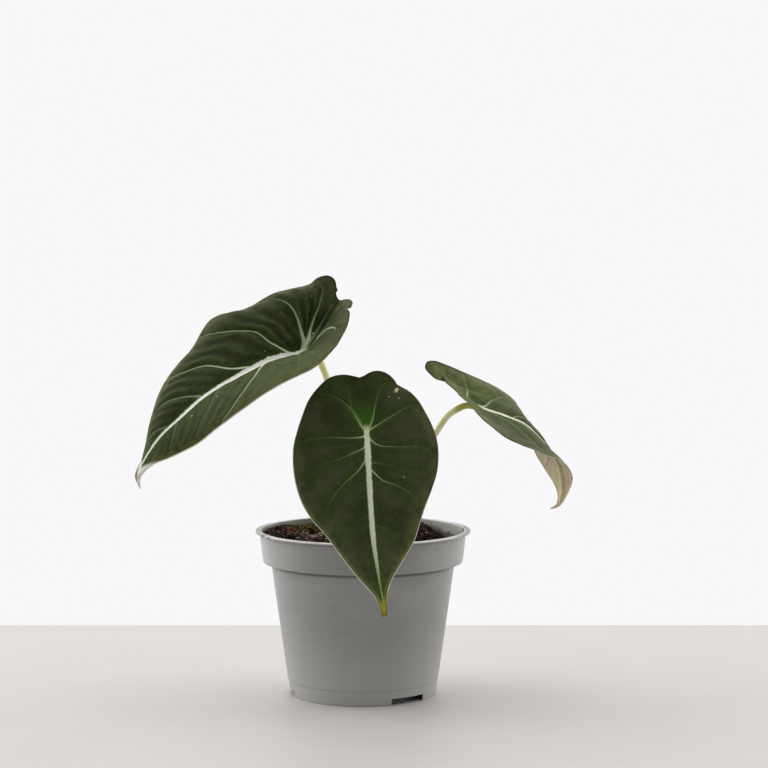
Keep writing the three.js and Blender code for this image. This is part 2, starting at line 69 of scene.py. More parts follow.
# %% A socket that can be calculated with
class Value:
    """One output of a shader tree. Python's operators on it add Math nodes."""

    def __init__(self, tree, socket=None):
        self.tree = tree
        self.socket = socket

    def node(self, kind, settings=None, inputs=None, output=0):
        """Adds a node with its settings, then the values or links of its sockets."""
        made = self.tree.nodes.new(kind)
        for name, setting in (settings or {}).items():
            if name == "stops":
                fill_ramp(made.color_ramp, setting)
            else:
                setattr(made, name, setting)
        for name, value in (inputs or {}).items():
            if isinstance(value, Value):
                self.tree.links.new(value.socket, made.inputs[name])
            else:
                made.inputs[name].default_value = value
        return Value(self.tree, made.outputs[output])

    def math(self, operation, *others):
        return self.node("ShaderNodeMath", {"operation": operation}, dict(enumerate((self, *others))))

    def __add__(self, other):
        return self.math("ADD", other)

    def __sub__(self, other):
        return self.math("SUBTRACT", other)

    def __rsub__(self, other):
        return self * -1 + other

    def __mul__(self, other):
        return self.math("MULTIPLY", other)

    def __pow__(self, other):
        return self.math("POWER", other)

    def __abs__(self):
        return self.math("ABSOLUTE")

    __radd__ = __add__
    __rmul__ = __mul__

    def rise(self, low, high):
        """0 up to low, 1 from high on and smooth between them. It falls where low is above high."""
        inputs = {"Value": self, "From Min": low, "From Max": high}
        return self.node("ShaderNodeMapRange", {"interpolation_type": "SMOOTHSTEP"}, inputs)

    def blend(self, first, second):
        """The colour first where this value is 0, and second where it is 1."""
        return self.node("ShaderNodeMix", {"data_type": "RGBA"}, {0: self, 6: first, 7: second}, output=2)

    def parts(self):
        """The three parts of a vector."""
        made = self.node("ShaderNodeSeparateXYZ", None, {0: self})
        outputs = made.socket.node.outputs
        return [Value(self.tree, outputs[part]) for part in range(3)]

    def feed(self, socket):
        self.tree.links.new(self.socket, socket)


def fill_ramp(ramp, stops):
    while len(ramp.elements) < len(stops):
        ramp.elements.new(1)
    for element, (position, color) in zip(ramp.elements, stops):
        element.position = position
        element.color = color


# %% Starting a finish
class Finish:
    """A material, its shader, and the places that its patterns are read from."""

    def __init__(self, name, roughness=0.5):
        self.material = bpy.data.materials.new(name)
        self.material.use_nodes = True
        tree = self.material.node_tree
        self.shader = tree.nodes["Principled BSDF"]
        self.shader.inputs["Roughness"].default_value = roughness
        self.start = Value(tree)
        self.place = self.start.node("ShaderNodeTexCoord", output="Object")

    def noise(self, size, detail=2.0, place=None):
        """Soft noise with lumps of about this size in millimetres, from 0 to 1."""
        inputs = {"Vector": place or self.place, "Scale": 1 / (size * MM), "Detail": detail}
        return self.start.node("ShaderNodeTexNoise", None, inputs)

    def cells(self, size, feature="F1"):
        """Distances in Voronoi cells of about this size in millimetres."""
        inputs = {"Vector": self.place, "Scale": 1 / (size * MM)}
        return self.start.node("ShaderNodeTexVoronoi", {"feature": feature}, inputs, output="Distance")

    def stretched(self, x, y, z, place=None):
        """Coordinates scaled along each axis, for patterns that run one way."""
        inputs = {"Vector": place or self.place, "Scale": (x, y, z)}
        return self.start.node("ShaderNodeMapping", None, inputs)

    def spot(self, centre, radius):
        """1 round a place given in millimetres and 0 beyond this radius."""
        inputs = {0: self.place, 1: tuple(part * MM for part in centre)}
        away = self.start.node("ShaderNodeVectorMath", {"operation": "DISTANCE"}, inputs, output="Value")
        return away.rise(radius * MM, radius * 0.6 * MM)

    def attribute(self, name, output="Vector"):
        return self.start.node("ShaderNodeAttribute", {"attribute_name": name}, output=output)

    def millimetres(self):
        """The three parts of the place on the surface, in millimetres."""
        return [part * (1 / MM) for part in self.place.parts()]

    def set(self, socket, value):
        self.shader.inputs[socket].default_value = value

    def paint(self, color, roughness=None, height=None, distance=0.2, strength=1.0):
        """Feeds colour and roughness, and a bump whose height is given in this many millimetres."""
        color.feed(self.shader.inputs["Base Color"])
        if roughness:
            roughness.feed(self.shader.inputs["Roughness"])
        if height:
            inputs = {"Strength": strength, "Distance": distance * MM, "Height": height}
            bump = self.start.node("ShaderNodeBump", None, inputs)
            bump.feed(self.shader.inputs["Normal"])


# %% Layers of colour
def layered(color, layers):
    """A colour with the (mask, colour) pairs of a list laid over it in turn."""
    for mask, over in layers:
        color = mask.blend(color, over)
    return color


# %% [markdown]
# ## From a drawing to a piece
# A bmesh in millimetres becomes a mesh object in metres. Its object stays at the origin, unturned and
# unscaled, so its place is in its mesh, and it rides on the one body of the plant.


# %% Making a piece
def into_scene(made):
    bpy.context.scene.collection.objects.link(made)
    return made


def add_object(drawing, name, finish):
    """A drawing in millimetres as an object in metres."""
    bmesh.ops.scale(drawing, vec=(MM, MM, MM), verts=drawing.verts)
    mesh = bpy.data.meshes.new(name)
    drawing.to_mesh(mesh)
    drawing.free()
    mesh.materials.append(finish.material)
    return into_scene(bpy.data.objects.new(name, mesh))


def add_piece(drawing, name, finish, sharp_deg=None):
    """A smooth piece of the plant, whose edges above this angle stay sharp."""
    piece = add_object(drawing, name, finish)
    piece.data.shade_smooth()
    if sharp_deg:
        piece.data.set_sharp_from_angle(angle=math.radians(sharp_deg))
    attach(piece, "root")
    print(f"{name}: {len(piece.data.polygons)} faces")
    return piece


# %% [markdown]
# ## Camera
# A long lens from nearly 1.2 metres away, a little above the leaves and tilted down by under four degrees.
# These numbers come from the pot's ellipses: the lip, the edge of the collar and the foot.

# %% Camera
CAMERA_PLACE = (11.75, -1166, 249.7)
CAMERA_PITCH_DEG = 3.77
FOCAL_PIXELS = 2100
SENSOR_MM = 36

camera = into_scene(bpy.data.objects.new("camera", bpy.data.cameras.new("camera")))
camera.data.sensor_width = SENSOR_MM
camera.data.lens = FOCAL_PIXELS / IMAGE_SIZE * SENSOR_MM
camera.location = Vector(CAMERA_PLACE) * MM
camera.rotation_euler = (math.radians(90 - CAMERA_PITCH_DEG), 0, 0)
bpy.context.scene.camera = camera
print(f"lens {camera.data.lens:.1f} mm")

# %% [markdown]
# ## Studio
# The plant stands on a plain pale table in a white room. The room is bright behind and at the sides and
# dimmer behind the camera, so the pot is darker in the middle than at its two sides, as round things are in
# such rooms. The room is the world's colour by direction. The camera itself sees plain white.

# %% Floor
FLOOR_BACK = 207
FLOOR_FRONT = 2600
FLOOR_HALF_WIDTH = 2600
FLOOR_THICKNESS = 30
FLOOR_ROUNDING = 2
FLOOR_COLOR = srgb(202, 199, 198)
FLOOR_SHADE = srgb(195, 192, 191)

floor_depth = FLOOR_FRONT + FLOOR_BACK
floor_middle = (0, FLOOR_BACK - floor_depth / 2, -FLOOR_THICKNESS / 2)
drawing = bmesh.new()
bmesh.ops.create_cube(drawing, size=1)
bmesh.ops.scale(drawing, vec=(2 * FLOOR_HALF_WIDTH, floor_depth, FLOOR_THICKNESS), verts=drawing.verts)
bmesh.ops.translate(drawing, vec=floor_middle, verts=drawing.verts)
bmesh.ops.bevel(drawing, geom=drawing.edges[:], offset=FLOOR_ROUNDING, segments=3, profile=0.5,
                affect="EDGES", material=-1)
floor_finish = Finish("pale_table", roughness=0.55)
floor_finish.paint(floor_finish.noise(60, detail=4).blend(FLOOR_COLOR, FLOOR_SHADE))
add_object(drawing, "floor", floor_finish)
print(f"floor: {floor_depth / 1000:.1f} m deep")

# %% Light of the room
ROOM_LEVEL = 0.66
ROOM_BEHIND = 0.75
ROOM_SIDES = 0.95
ROOM_LEFT = 0.16
ROOM_ABOVE = 0.16
ROOM_DARKEST = 0.1
ROOM_TINT = (1.0, 0.995, 0.985, 1)
BACKDROP = srgb(248, 248, 250)

world = bpy.data.worlds.new("white_room")
bpy.context.scene.world = world
world.use_nodes = True
room = Value(world.node_tree)
right_part, back_part, up_part = room.node("ShaderNodeTexCoord", output="Generated").parts()
level = back_part * ROOM_BEHIND - right_part * ROOM_LEFT + up_part * ROOM_ABOVE + ROOM_LEVEL
level = (level + right_part * right_part * ROOM_SIDES).math("MAXIMUM", ROOM_DARKEST)
lit = room.node("ShaderNodeBackground", None, {"Color": ROOM_TINT, "Strength": level})
seen = room.node("ShaderNodeBackground", None, {"Color": BACKDROP, "Strength": 1.0})
straight = room.node("ShaderNodeLightPath", output="Is Camera Ray")
both = room.node("ShaderNodeMixShader", None, {0: straight, 1: lit, 2: seen})
both.feed(world.node_tree.nodes["World Output"].inputs["Surface"])
bpy.context.scene.view_settings.view_transform = "Standard"

# %% Window light
WINDOW_AIM = (0, 0, 0.12)


def add_window(name, place, size, energy):
    """A soft area lamp that looks at the plant. Place and size are in metres."""
    lamp = bpy.data.lights.new(name, "AREA")
    lamp.shape = "RECTANGLE"
    lamp.size, lamp.size_y = size
    lamp.energy = energy
    holder = into_scene(bpy.data.objects.new(name, lamp))
    holder.location = place
    aim = Vector(WINDOW_AIM) - Vector(place)
    holder.rotation_euler = aim.to_track_quat("-Z", "Y").to_euler()
    print(f"{name}: {energy} W")


add_window("window_left", (-1.5, 0.5, 1.3), (1.2, 1.2), 9)
add_window("window_right", (1.6, 0.6, 0.9), (1.0, 1.2), 4.6)

# %% [markdown]
# ## Pot
# A nursery pot is moulded in one thin sheet of plastic: a cone for the body, a wider collar to grip and
# stack it by, a flat lip, and a foot ring with notches that let water out. All of it is round, so one
# profile is drawn, its corners are rounded as a mould rounds them, and the profile is spun. The notches and
# drain holes are cut out afterwards, because they are the only parts that aren't round.

# %% Measures of the pot
POT_HEIGHT = 91.5
LIP_RADIUS = 60
LIP_THICKNESS = 1.2
COLLAR_TOP_RADIUS = 57.7
COLLAR_BOTTOM_RADIUS = 55.8
COLLAR_BOTTOM_Z = 74
BODY_TOP_RADIUS = 51.4
FOOT_RADIUS = 41
FOOT_STEP_Z = 8
FOOT_STEP_RADIUS = 42.1
WALL = 1.1
GROOVE_INNER_RADIUS = 33
GROOVE_OUTER_RADIUS = 39.6
GROOVE_HEIGHT = 4
GROOVE_DRAFT = 0.9
NOTCH_COUNT = 3
NOTCH_WIDTH = 22
NOTCH_HEIGHT = 3.7
NOTCH_DEPTH = 8
FIRST_NOTCH_DEG = 38.2
DRAIN_HOLE_RADIUS = 2.6
POT_STEPS = 180


def body_radius(z):
    """Outer radius of the cone under the collar."""
    share = (z - FOOT_STEP_Z) / (COLLAR_BOTTOM_Z - FOOT_STEP_Z)
    return FOOT_STEP_RADIUS + (BODY_TOP_RADIUS - FOOT_STEP_RADIUS) * share


def collar_radius(z):
    share = (z - COLLAR_BOTTOM_Z) / (POT_HEIGHT - LIP_THICKNESS - COLLAR_BOTTOM_Z)
    return COLLAR_BOTTOM_RADIUS + (COLLAR_TOP_RADIUS - COLLAR_BOTTOM_RADIUS) * share


# %% Turning a profile
def turned(profile, steps, rounding=0.0, longest=None):
    """A closed body of revolution from [radius, z] points that start and end on the axis."""
    drawing = bmesh.new()
    chain = [drawing.verts.new((radius, 0, z)) for radius, z in profile]
    for pair in zip(chain, chain[1:]):
        drawing.edges.new(pair)
    if rounding:
        bmesh.ops.bevel(drawing, geom=chain[1:-1], offset=rounding, offset_type="OFFSET", segments=4,
                        profile=0.5, affect="VERTICES", clamp_overlap=True, material=-1)
    if longest:
        for edge in drawing.edges[:]:
            cuts = int(edge.calc_length() / longest)
            if cuts:
                bmesh.ops.subdivide_edges(drawing, edges=[edge], cuts=cuts)
    bmesh.ops.spin(drawing, geom=drawing.verts[:] + drawing.edges[:], cent=(0, 0, 0), axis=(0, 0, 1),
                   angle=2 * math.pi, steps=steps, use_merge=True)
    bmesh.ops.remove_doubles(drawing, verts=drawing.verts, dist=0.001)
    bmesh.ops.recalc_face_normals(drawing, faces=drawing.faces)
    return drawing


lip_bottom = POT_HEIGHT - LIP_THICKNESS
floor_top = GROOVE_HEIGHT + WALL
shelf_top = COLLAR_BOTTOM_Z + WALL
POT_PROFILE = [
    (0, 0),
    (GROOVE_INNER_RADIUS, 0),
    (GROOVE_INNER_RADIUS + GROOVE_DRAFT, GROOVE_HEIGHT),
    (GROOVE_OUTER_RADIUS - 0.4, GROOVE_HEIGHT),
    (GROOVE_OUTER_RADIUS, 0),
    (FOOT_RADIUS, 0),
    (FOOT_STEP_RADIUS - 0.3, FOOT_STEP_Z),
    (FOOT_STEP_RADIUS + 0.1, FOOT_STEP_Z + 0.5),
    (BODY_TOP_RADIUS, COLLAR_BOTTOM_Z),
    (COLLAR_BOTTOM_RADIUS, COLLAR_BOTTOM_Z),
    (COLLAR_TOP_RADIUS, lip_bottom),
    (LIP_RADIUS, lip_bottom),
    (LIP_RADIUS, POT_HEIGHT),
    (COLLAR_TOP_RADIUS - WALL, POT_HEIGHT),
    (collar_radius(shelf_top) - WALL, shelf_top),
    (body_radius(shelf_top) - WALL, shelf_top),
    (body_radius(floor_top) - WALL, floor_top),
    (GROOVE_INNER_RADIUS + GROOVE_DRAFT - WALL, floor_top),
    (GROOVE_INNER_RADIUS - WALL, WALL),
    (0, WALL),
]
pot_drawing = turned(POT_PROFILE, POT_STEPS, rounding=0.45, longest=2.2)
print("pot profile turned:", len(pot_drawing.faces), "faces")

# %% Cutters for the notches and drain holes
cutters = bmesh.new()
for notch in range(NOTCH_COUNT):
    angle = math.radians(FIRST_NOTCH_DEG + notch * 360 / NOTCH_COUNT - 90)
    turn = Matrix.Rotation(angle, 4, "Z")
    block_size = Matrix.Diagonal((NOTCH_DEPTH, NOTCH_WIDTH, 2 * NOTCH_HEIGHT, 1))
    block = turn @ Matrix.Translation((FOOT_RADIUS, 0, 0)) @ block_size
    made = bmesh.ops.create_cube(cutters, size=1, matrix=block)
    upright = [e for v in made["verts"] for e in v.link_edges if e.verts[0].co.z > 0 and e.verts[1].co.z > 0]
    bmesh.ops.bevel(cutters, geom=list(set(upright)), offset=0.8, segments=3, profile=0.5,
                    affect="EDGES", material=-1)
    hole_radius = (GROOVE_INNER_RADIUS + GROOVE_OUTER_RADIUS + 0.5) / 2
    hole = turn @ Matrix.Translation((hole_radius, 0, floor_top / 2))
    bmesh.ops.create_cone(cutters, cap_ends=True, segments=32, radius1=DRAIN_HOLE_RADIUS,
                          radius2=DRAIN_HOLE_RADIUS, depth=floor_top + 3, matrix=hole)
print("cutters:", len(cutters.faces), "faces")


def carved(drawing, cutters):
    """What is left of a drawing once the cutters are taken away."""
    made = []
    for name, part in (("carved", drawing), ("cutters", cutters)):
        mesh = bpy.data.meshes.new(name)
        part.to_mesh(mesh)
        part.free()
        made.append(into_scene(bpy.data.objects.new(name, mesh)))
    body, tool = made
    cut = body.modifiers.new("cut", "BOOLEAN")
    cut.operation = "DIFFERENCE"
    cut.solver = "EXACT"
    cut.object = tool
    graph = bpy.context.evaluated_depsgraph_get()
    result = bmesh.new()
    result.from_mesh(body.evaluated_get(graph).to_mesh())
    for done in made:
        bpy.data.objects.remove(done)
    return result


# %% [markdown]
# The plastic is a satin mid grey. Close up it is never one colour: recycled plastic flows in faint cloudy
# bands round the pot, potting leaves soil on the inside and on the lip, and stacked pots rub pale marks
# into their edges. Light and shade are painted on it too: a painted highlight on the top of the lip,
# lightest at the front and darker at its ends, the collar painted lighter at its sides and darker in front,
# the lower body painted paler as if lit from the floor, and painted shadows under the collar and the lip.
# Height and radius tell the shader where the lip, the collar and the inside are. A stain is a place in
# millimetres and a radius.

# %% Where the pot is worn and soiled, and where light and shade are painted on it
POT_STAINS = [
    ((56.4, 6, 89.8), 3.2), ((58.4, -3, 91.4), 1.3), ((-54, -24, 90.6), 2.4), ((-50.5, -31, 90.4), 1.8),
    ((-45, -38, 90.2), 1.4),
]
WASHED_SPOT = (40, 38, 84.5), 9

grey_plastic = Finish("grey_plastic", roughness=0.45)
x, y, height = grey_plastic.millimetres()
radius = (x * x + y * y) ** 0.5
body_slope = (BODY_TOP_RADIUS - FOOT_STEP_RADIUS) / (COLLAR_BOTTOM_Z - FOOT_STEP_Z)
collar_slope = (COLLAR_TOP_RADIUS - COLLAR_BOTTOM_RADIUS) / (lip_bottom - COLLAR_BOTTOM_Z)
body_middle = (height - FOOT_STEP_Z) * body_slope + FOOT_STEP_RADIUS - WALL / 2
collar_middle = (height - COLLAR_BOTTOM_Z) * collar_slope + COLLAR_BOTTOM_RADIUS - WALL / 2
in_body = (body_middle - radius).rise(-0.1, 0.1) * height.rise(shelf_top + 0.1, shelf_top - 0.1)
in_collar = (collar_middle - radius).rise(-0.1, 0.1) * height.rise(shelf_top - 0.1, shelf_top + 0.1)
inside = (in_body + in_collar) * height.rise(WALL * 0.4, WALL * 0.8)
outside = 1 - inside.math("MINIMUM", 1.0)
collar = height.rise(COLLAR_BOTTOM_Z - 0.3, COLLAR_BOTTOM_Z + 0.3)
# Bands under the collar and under the lip, where shadow is painted.
under_collar = height.rise(COLLAR_BOTTOM_Z - 2.8, COLLAR_BOTTOM_Z - 1.3)
under_collar = under_collar * height.rise(COLLAR_BOTTOM_Z + 0.1, COLLAR_BOTTOM_Z - 0.1)
under_lip = height.rise(POT_HEIGHT - 2.6, POT_HEIGHT - 1.5) * height.rise(POT_HEIGHT - 0.8, POT_HEIGHT - 1.1)
on_lip = height.rise(POT_HEIGHT - 0.8, POT_HEIGHT - 0.35)
outer_lip = radius.rise(COLLAR_TOP_RADIUS - 0.3, COLLAR_TOP_RADIUS + 0.3)
beside = abs(x).rise(20, 56)
at_end = abs(x).rise(48, 59)

# %% Grey plastic
POT_GREY = srgb(145, 146, 144)
POT_PALE = srgb(157, 158, 157)
POT_FOOT_PAINTED_LIGHT = srgb(174, 174, 171)
COLLAR_FRONT_PAINTED_SHADE = srgb(132, 132, 130)
COLLAR_SIDES_PAINTED_LIGHT = srgb(172, 173, 172)
LIP_WEAR_AND_HIGHLIGHT = srgb(238, 238, 236)
LIP_END_PAINTED_SHADE = srgb(104, 107, 104)
POT_DIRT = srgb(58, 44, 33)
POT_DAMP = srgb(84, 84, 66)
POT_WASHED = srgb(78, 70, 48)
COLLAR_PAINTED_SHADOW = srgb(66, 64, 60)
LIP_PAINTED_SHADOW = srgb(84, 82, 78)
SPECK_DARK = srgb(84, 76, 68)
SPECK_PALE = srgb(214, 212, 208)

clouds = grey_plastic.noise(26, detail=3, place=grey_plastic.stretched(1, 1, 2.2)).rise(0.35, 0.7)
streaks = grey_plastic.noise(7, detail=3, place=grey_plastic.stretched(1, 1, 0.12)).rise(0.45, 0.75)
rubbed = grey_plastic.noise(3.5, detail=5).rise(0.35, 0.62)
soil_noise = grey_plastic.noise(4.2, detail=6)
splash = grey_plastic.noise(1.1, detail=4)
# The top of the lip: pale where rubbed, and painted lighter towards the front and dimmer at the ends, a
# painted highlight.
lip_wear_and_highlight = (rubbed * 0.25 + y.rise(20, -35) * 0.35 + 0.2) * (1 - at_end * 0.6)
smear = inside * (soil_noise + height.rise(88.5, 83) * 0.34).rise(0.62, 0.78) * splash.rise(0.3, 0.6)
spilt = height.rise(80, 90.5) * beside * splash.rise(0.56, 0.64) * soil_noise.rise(0.48, 0.58)
damp = inside * x.rise(10, -30) * (soil_noise * 0.5 + 0.35)
washed = inside * grey_plastic.spot(*WASHED_SPOT) * soil_noise.rise(0.3, 0.6) * height.rise(90, 86)
specks = grey_plastic.cells(3.4).rise(0.11, 0.07) * grey_plastic.noise(9).rise(0.52, 0.6)
pale_specks = grey_plastic.cells(5.3).rise(0.09, 0.05) * grey_plastic.noise(13).rise(0.5, 0.6)
plastic = layered((clouds * 0.55 + streaks * 0.15).blend(POT_GREY, POT_PALE), [
    # Painted light: the body paler towards the foot, as if lit from the floor below.
    (height.rise(48, 2) * 0.8, POT_FOOT_PAINTED_LIGHT),
    # Painted light and shade: the collar lighter at its sides and darker in front, as light falls on it.
    (collar * (1 - beside) * 0.4, COLLAR_FRONT_PAINTED_SHADE),
    (collar * beside * 0.6, COLLAR_SIDES_PAINTED_LIGHT),
    # Rubbed pale marks and a painted highlight on the top of the lip.
    (on_lip * lip_wear_and_highlight, LIP_WEAR_AND_HIGHLIGHT),
    # Painted shade: the outer edge of the lip darker at its left and right ends.
    (on_lip * at_end * outer_lip * 0.6, LIP_END_PAINTED_SHADE),
    (smear * 0.9, POT_DIRT),
    (spilt * 0.8, POT_DIRT),
    (inside * height.rise(88, 84) * 0.55, POT_DIRT),
    (damp, POT_DAMP),
    (washed * 0.75, POT_WASHED),
    *[(grey_plastic.spot(*stain) * splash.rise(0.2, 0.42) * 0.9, POT_DIRT) for stain in POT_STAINS],
    # Painted shadow in the corner under the collar's overhang.
    (under_collar * outside * 0.75, COLLAR_PAINTED_SHADOW),
    # Painted shadow under the lip.
    (under_lip * outside * 0.4, LIP_PAINTED_SHADOW),
    (specks * 0.5, SPECK_DARK),
    (pale_specks * 0.4, SPECK_PALE),
])
grey_plastic.paint(
    plastic,
    roughness=clouds * 0.05 + smear * 0.4 + rubbed * 0.04 + 0.42,
    height=grey_plastic.noise(0.35, detail=2) * 0.12 + grey_plastic.noise(18, detail=1) * 0.6 + smear * 0.8,
    distance=0.25,
    strength=0.5,
)
print("grey plastic:", len(grey_plastic.material.node_tree.nodes), "nodes")

# %% Pot piece
pot = add_piece(carved(pot_drawing, cutters), "pot_shell", grey_plastic, sharp_deg=35)
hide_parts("pot")

# %% [markdown]
# ## Potting mix
# Peat, bark, grit and a little moss, watered until it settled. The big form is the CAD part's own: level
# with a slope down to the right and a low heap at the crown. It is turned like the pot, with many rings on
# top, and those are then lifted to that form and roughened with noise. What makes it read as soil is loose
# stuff on top, so crumbs, chips, grit and moss are strewn over it as simple solids.

# %% Measures of the mix
MIX_EDGE_Z = 85.2
MIX_SLOPE = 0.035
MIX_MOUND = 2.2
MIX_MOUND_RADIUS = 26
MIX_LUMP = 0.8
MIX_GAP = 0.3
MIX_STEPS = 260
MIX_RINGS = 84
MIX_ROUGHNESS = 1.1
LEFT_HEAP = 2.2
MIDDLE_HEAP = 5.6
LEFT_BANK = 2.6
RIGHT_DIP = 1.6
mix_edge_radius = collar_radius(MIX_EDGE_Z) - WALL - MIX_GAP - 0.2
print(f"mix: {2 * mix_edge_radius:.1f} mm wide")


def mix_height(x, y):
    """Height of the mix in millimetres, without its fine crumb."""
    radius = math.hypot(x, y)
    mound = MIX_MOUND * math.exp(-((radius / MIX_MOUND_RADIUS) ** 2))
    lump = (math.sin(0.31 * x + 1.3) * math.sin(0.27 * y + 0.4) + 0.6 * math.sin(0.63 * x - 0.41 * y)
            + 0.5 * math.sin(0.22 * x + 0.74 * y + 2.1))
    share = min(1, radius / (COLLAR_BOTTOM_RADIUS - WALL))
    return MIX_EDGE_Z - MIX_SLOPE * x + mound + MIX_LUMP * lump * (1 - 0.4 * share)


def smooth_rise(value, low, high):
    """0 up to low, 1 from high on and smooth between them."""
    share = min(1, max(0, (value - low) / (high - low)))
    return share * share * (3 - 2 * share)


def soil_height(x, y):
    """The mix with its heaps and its fine crumb, where loose stuff comes to lie."""
    place = Vector((x, y, 0))
    coarse = noise.fractal(place * 0.28, 0.7, 2.1, 3)
    fine = noise.fractal(place * 0.9 + Vector((7, 3, 1)), 0.6, 2.2, 3)
    back = smooth_rise(y, 5, 46)
    middle = smooth_rise(x, 54, 33) * smooth_rise(x, -20, 16)
    heaps = back * (LEFT_HEAP * smooth_rise(x, 2, -26) + MIDDLE_HEAP * middle)
    heaps = heaps + LEFT_BANK * smooth_rise(x, -34, -54)
    dip = RIGHT_DIP * smooth_rise(x, 26, 52)
    return mix_height(x, y) + heaps - dip + MIX_ROUGHNESS * (0.6 * coarse + 0.5 * fine) - 0.3


# %% Body of the mix
MIX_SIDE = [
    (0, WALL + MIX_GAP),
    (GROOVE_INNER_RADIUS - WALL - MIX_GAP, WALL + MIX_GAP),
    (GROOVE_INNER_RADIUS + 0.6 - WALL, floor_top + MIX_GAP),
    (body_radius(floor_top) - WALL - MIX_GAP, floor_top + MIX_GAP),
    (body_radius(shelf_top) - WALL - MIX_GAP, shelf_top + MIX_GAP),
    (collar_radius(shelf_top) - WALL - MIX_GAP, shelf_top + MIX_GAP),
]
mix_top = [(mix_edge_radius * ring / MIX_RINGS, MIX_EDGE_Z) for ring in range(MIX_RINGS, -1, -1)]
mix_drawing = turned(MIX_SIDE + mix_top, MIX_STEPS)
for vertex in mix_drawing.verts:
    if vertex.co.z > MIX_EDGE_Z - 0.01:
        vertex.co.z = soil_height(vertex.co.x, vertex.co.y)

# %% Damp peat
PEAT_DARK = srgb(20, 13, 9)
PEAT_BROWN = srgb(48, 32, 21)
PEAT_RED = srgb(84, 46, 28)

potting_mix = Finish("potting_mix", roughness=0.9)
crumb_tone = potting_mix.noise(2.3, detail=5)
grain_tone = potting_mix.noise(0.6, detail=3)
peat = crumb_tone.rise(0.35, 0.72).blend(PEAT_DARK, PEAT_BROWN)
peat = (grain_tone.rise(0.6, 0.78) * 0.6).blend(peat, PEAT_RED)
potting_mix.paint(peat, roughness=crumb_tone * 0.2 + 0.75, height=crumb_tone * 0.6 + grain_tone * 0.4,
                  distance=0.8)
potting_mix.set("Specular IOR Level", 0.2)
mix = add_piece(mix_drawing, "potting_surface", potting_mix, sharp_deg=60)
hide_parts("potting_mix")


# %% [markdown]
# Loose pieces are spheres of twenty faces with their corners pushed about, because there are thousands.
# Each one carries a number of its own, its tone, which the finish turns into a colour. A table lists each
# heap: its finish with the colours that the tones run through, and how many pieces are strewn, how large
# and where.

# %% Strewing loose pieces
CROWN_RADIUS = 8
EDGE_ROOM = 1.2
SMALLER_FROM_EDGE = 6
ANY_TURN = 6.3
BATCH = 260


def strew(count, seed, low, high, shape, jitter, lift, zone=None):
    """Lumps on the mix. shape is their length, width and height for size 1, and zone is (x, y, spread)."""
    draw = random.Random(seed)
    heap = bmesh.new()
    heap.verts.layers.float.new("tone")
    while count:
        part = bmesh.new()
        tone = part.verts.layers.float.new("tone")
        for _ in range(min(BATCH, count)):
            if zone:
                x, y = (middle + draw.gauss(0, zone[2]) for middle in zone[:2])
            else:
                angle = draw.uniform(0, 2 * math.pi)
                distance = math.sqrt(draw.uniform(CROWN_RADIUS ** 2, (mix_edge_radius - 1) ** 2))
                x, y = distance * math.cos(angle), distance * math.sin(angle)
            reach = math.hypot(x, y)
            if reach > mix_edge_radius - EDGE_ROOM:
                x, y = (c * (mix_edge_radius - EDGE_ROOM) / reach for c in (x, y))
            size = low + (high - low) * draw.random() ** 2.5
            size *= min(1, 0.45 + 0.55 * max(0, mix_edge_radius - reach) / SMALLER_FROM_EDGE)
            tilt = draw.uniform(0, ANY_TURN) if shape[2] == 1 else draw.gauss(0, 0.35)
            turn = Euler([tilt, draw.gauss(0, 0.3), draw.uniform(0, ANY_TURN)]).to_matrix().to_4x4()
            stretch = Matrix.Diagonal([size * s * draw.uniform(0.75, 1.3) for s in shape] + [1])
            place = Matrix.Translation((x, y, soil_height(x, y) + lift * size))
            own_tone = draw.random()
            lump = bmesh.ops.create_icosphere(part, subdivisions=1, radius=1, matrix=place @ turn @ stretch)
            for vertex in lump["verts"]:
                vertex.co += Vector([draw.uniform(-1, 1) * jitter * size for _ in range(3)])
                vertex[tone] = own_tone
        count -= min(BATCH, count)
        holder = bpy.data.meshes.new("batch")
        part.to_mesh(holder)
        part.free()
        heap.from_mesh(holder)
        bpy.data.meshes.remove(holder)
    return heap


# %% Finish of a heap
def loose_finish(name, roughness, stops):
    """A matt finish whose colour runs through these [tone, colour] stops from piece to piece."""
    finish = Finish(name, roughness)
    tone = finish.attribute("tone", output="Fac")
    grain = finish.noise(0.5, detail=3)
    ramp = {"stops": [(position, srgb(*color)) for position, color in stops]}
    color = tone.node("ShaderNodeValToRGB", ramp, {"Fac": tone})
    shade = grain.rise(0.3, 0.75).blend((0.55, 0.55, 0.55, 1), (1.15, 1.15, 1.15, 1))
    multiply = {"data_type": "RGBA", "blend_type": "MULTIPLY"}
    shaded = tone.node("ShaderNodeMix", multiply, {0: 1.0, 6: color, 7: shade}, output=2)
    finish.paint(shaded, height=grain, distance=0.15)
    finish.set("Specular IOR Level", 0.1)
    return finish


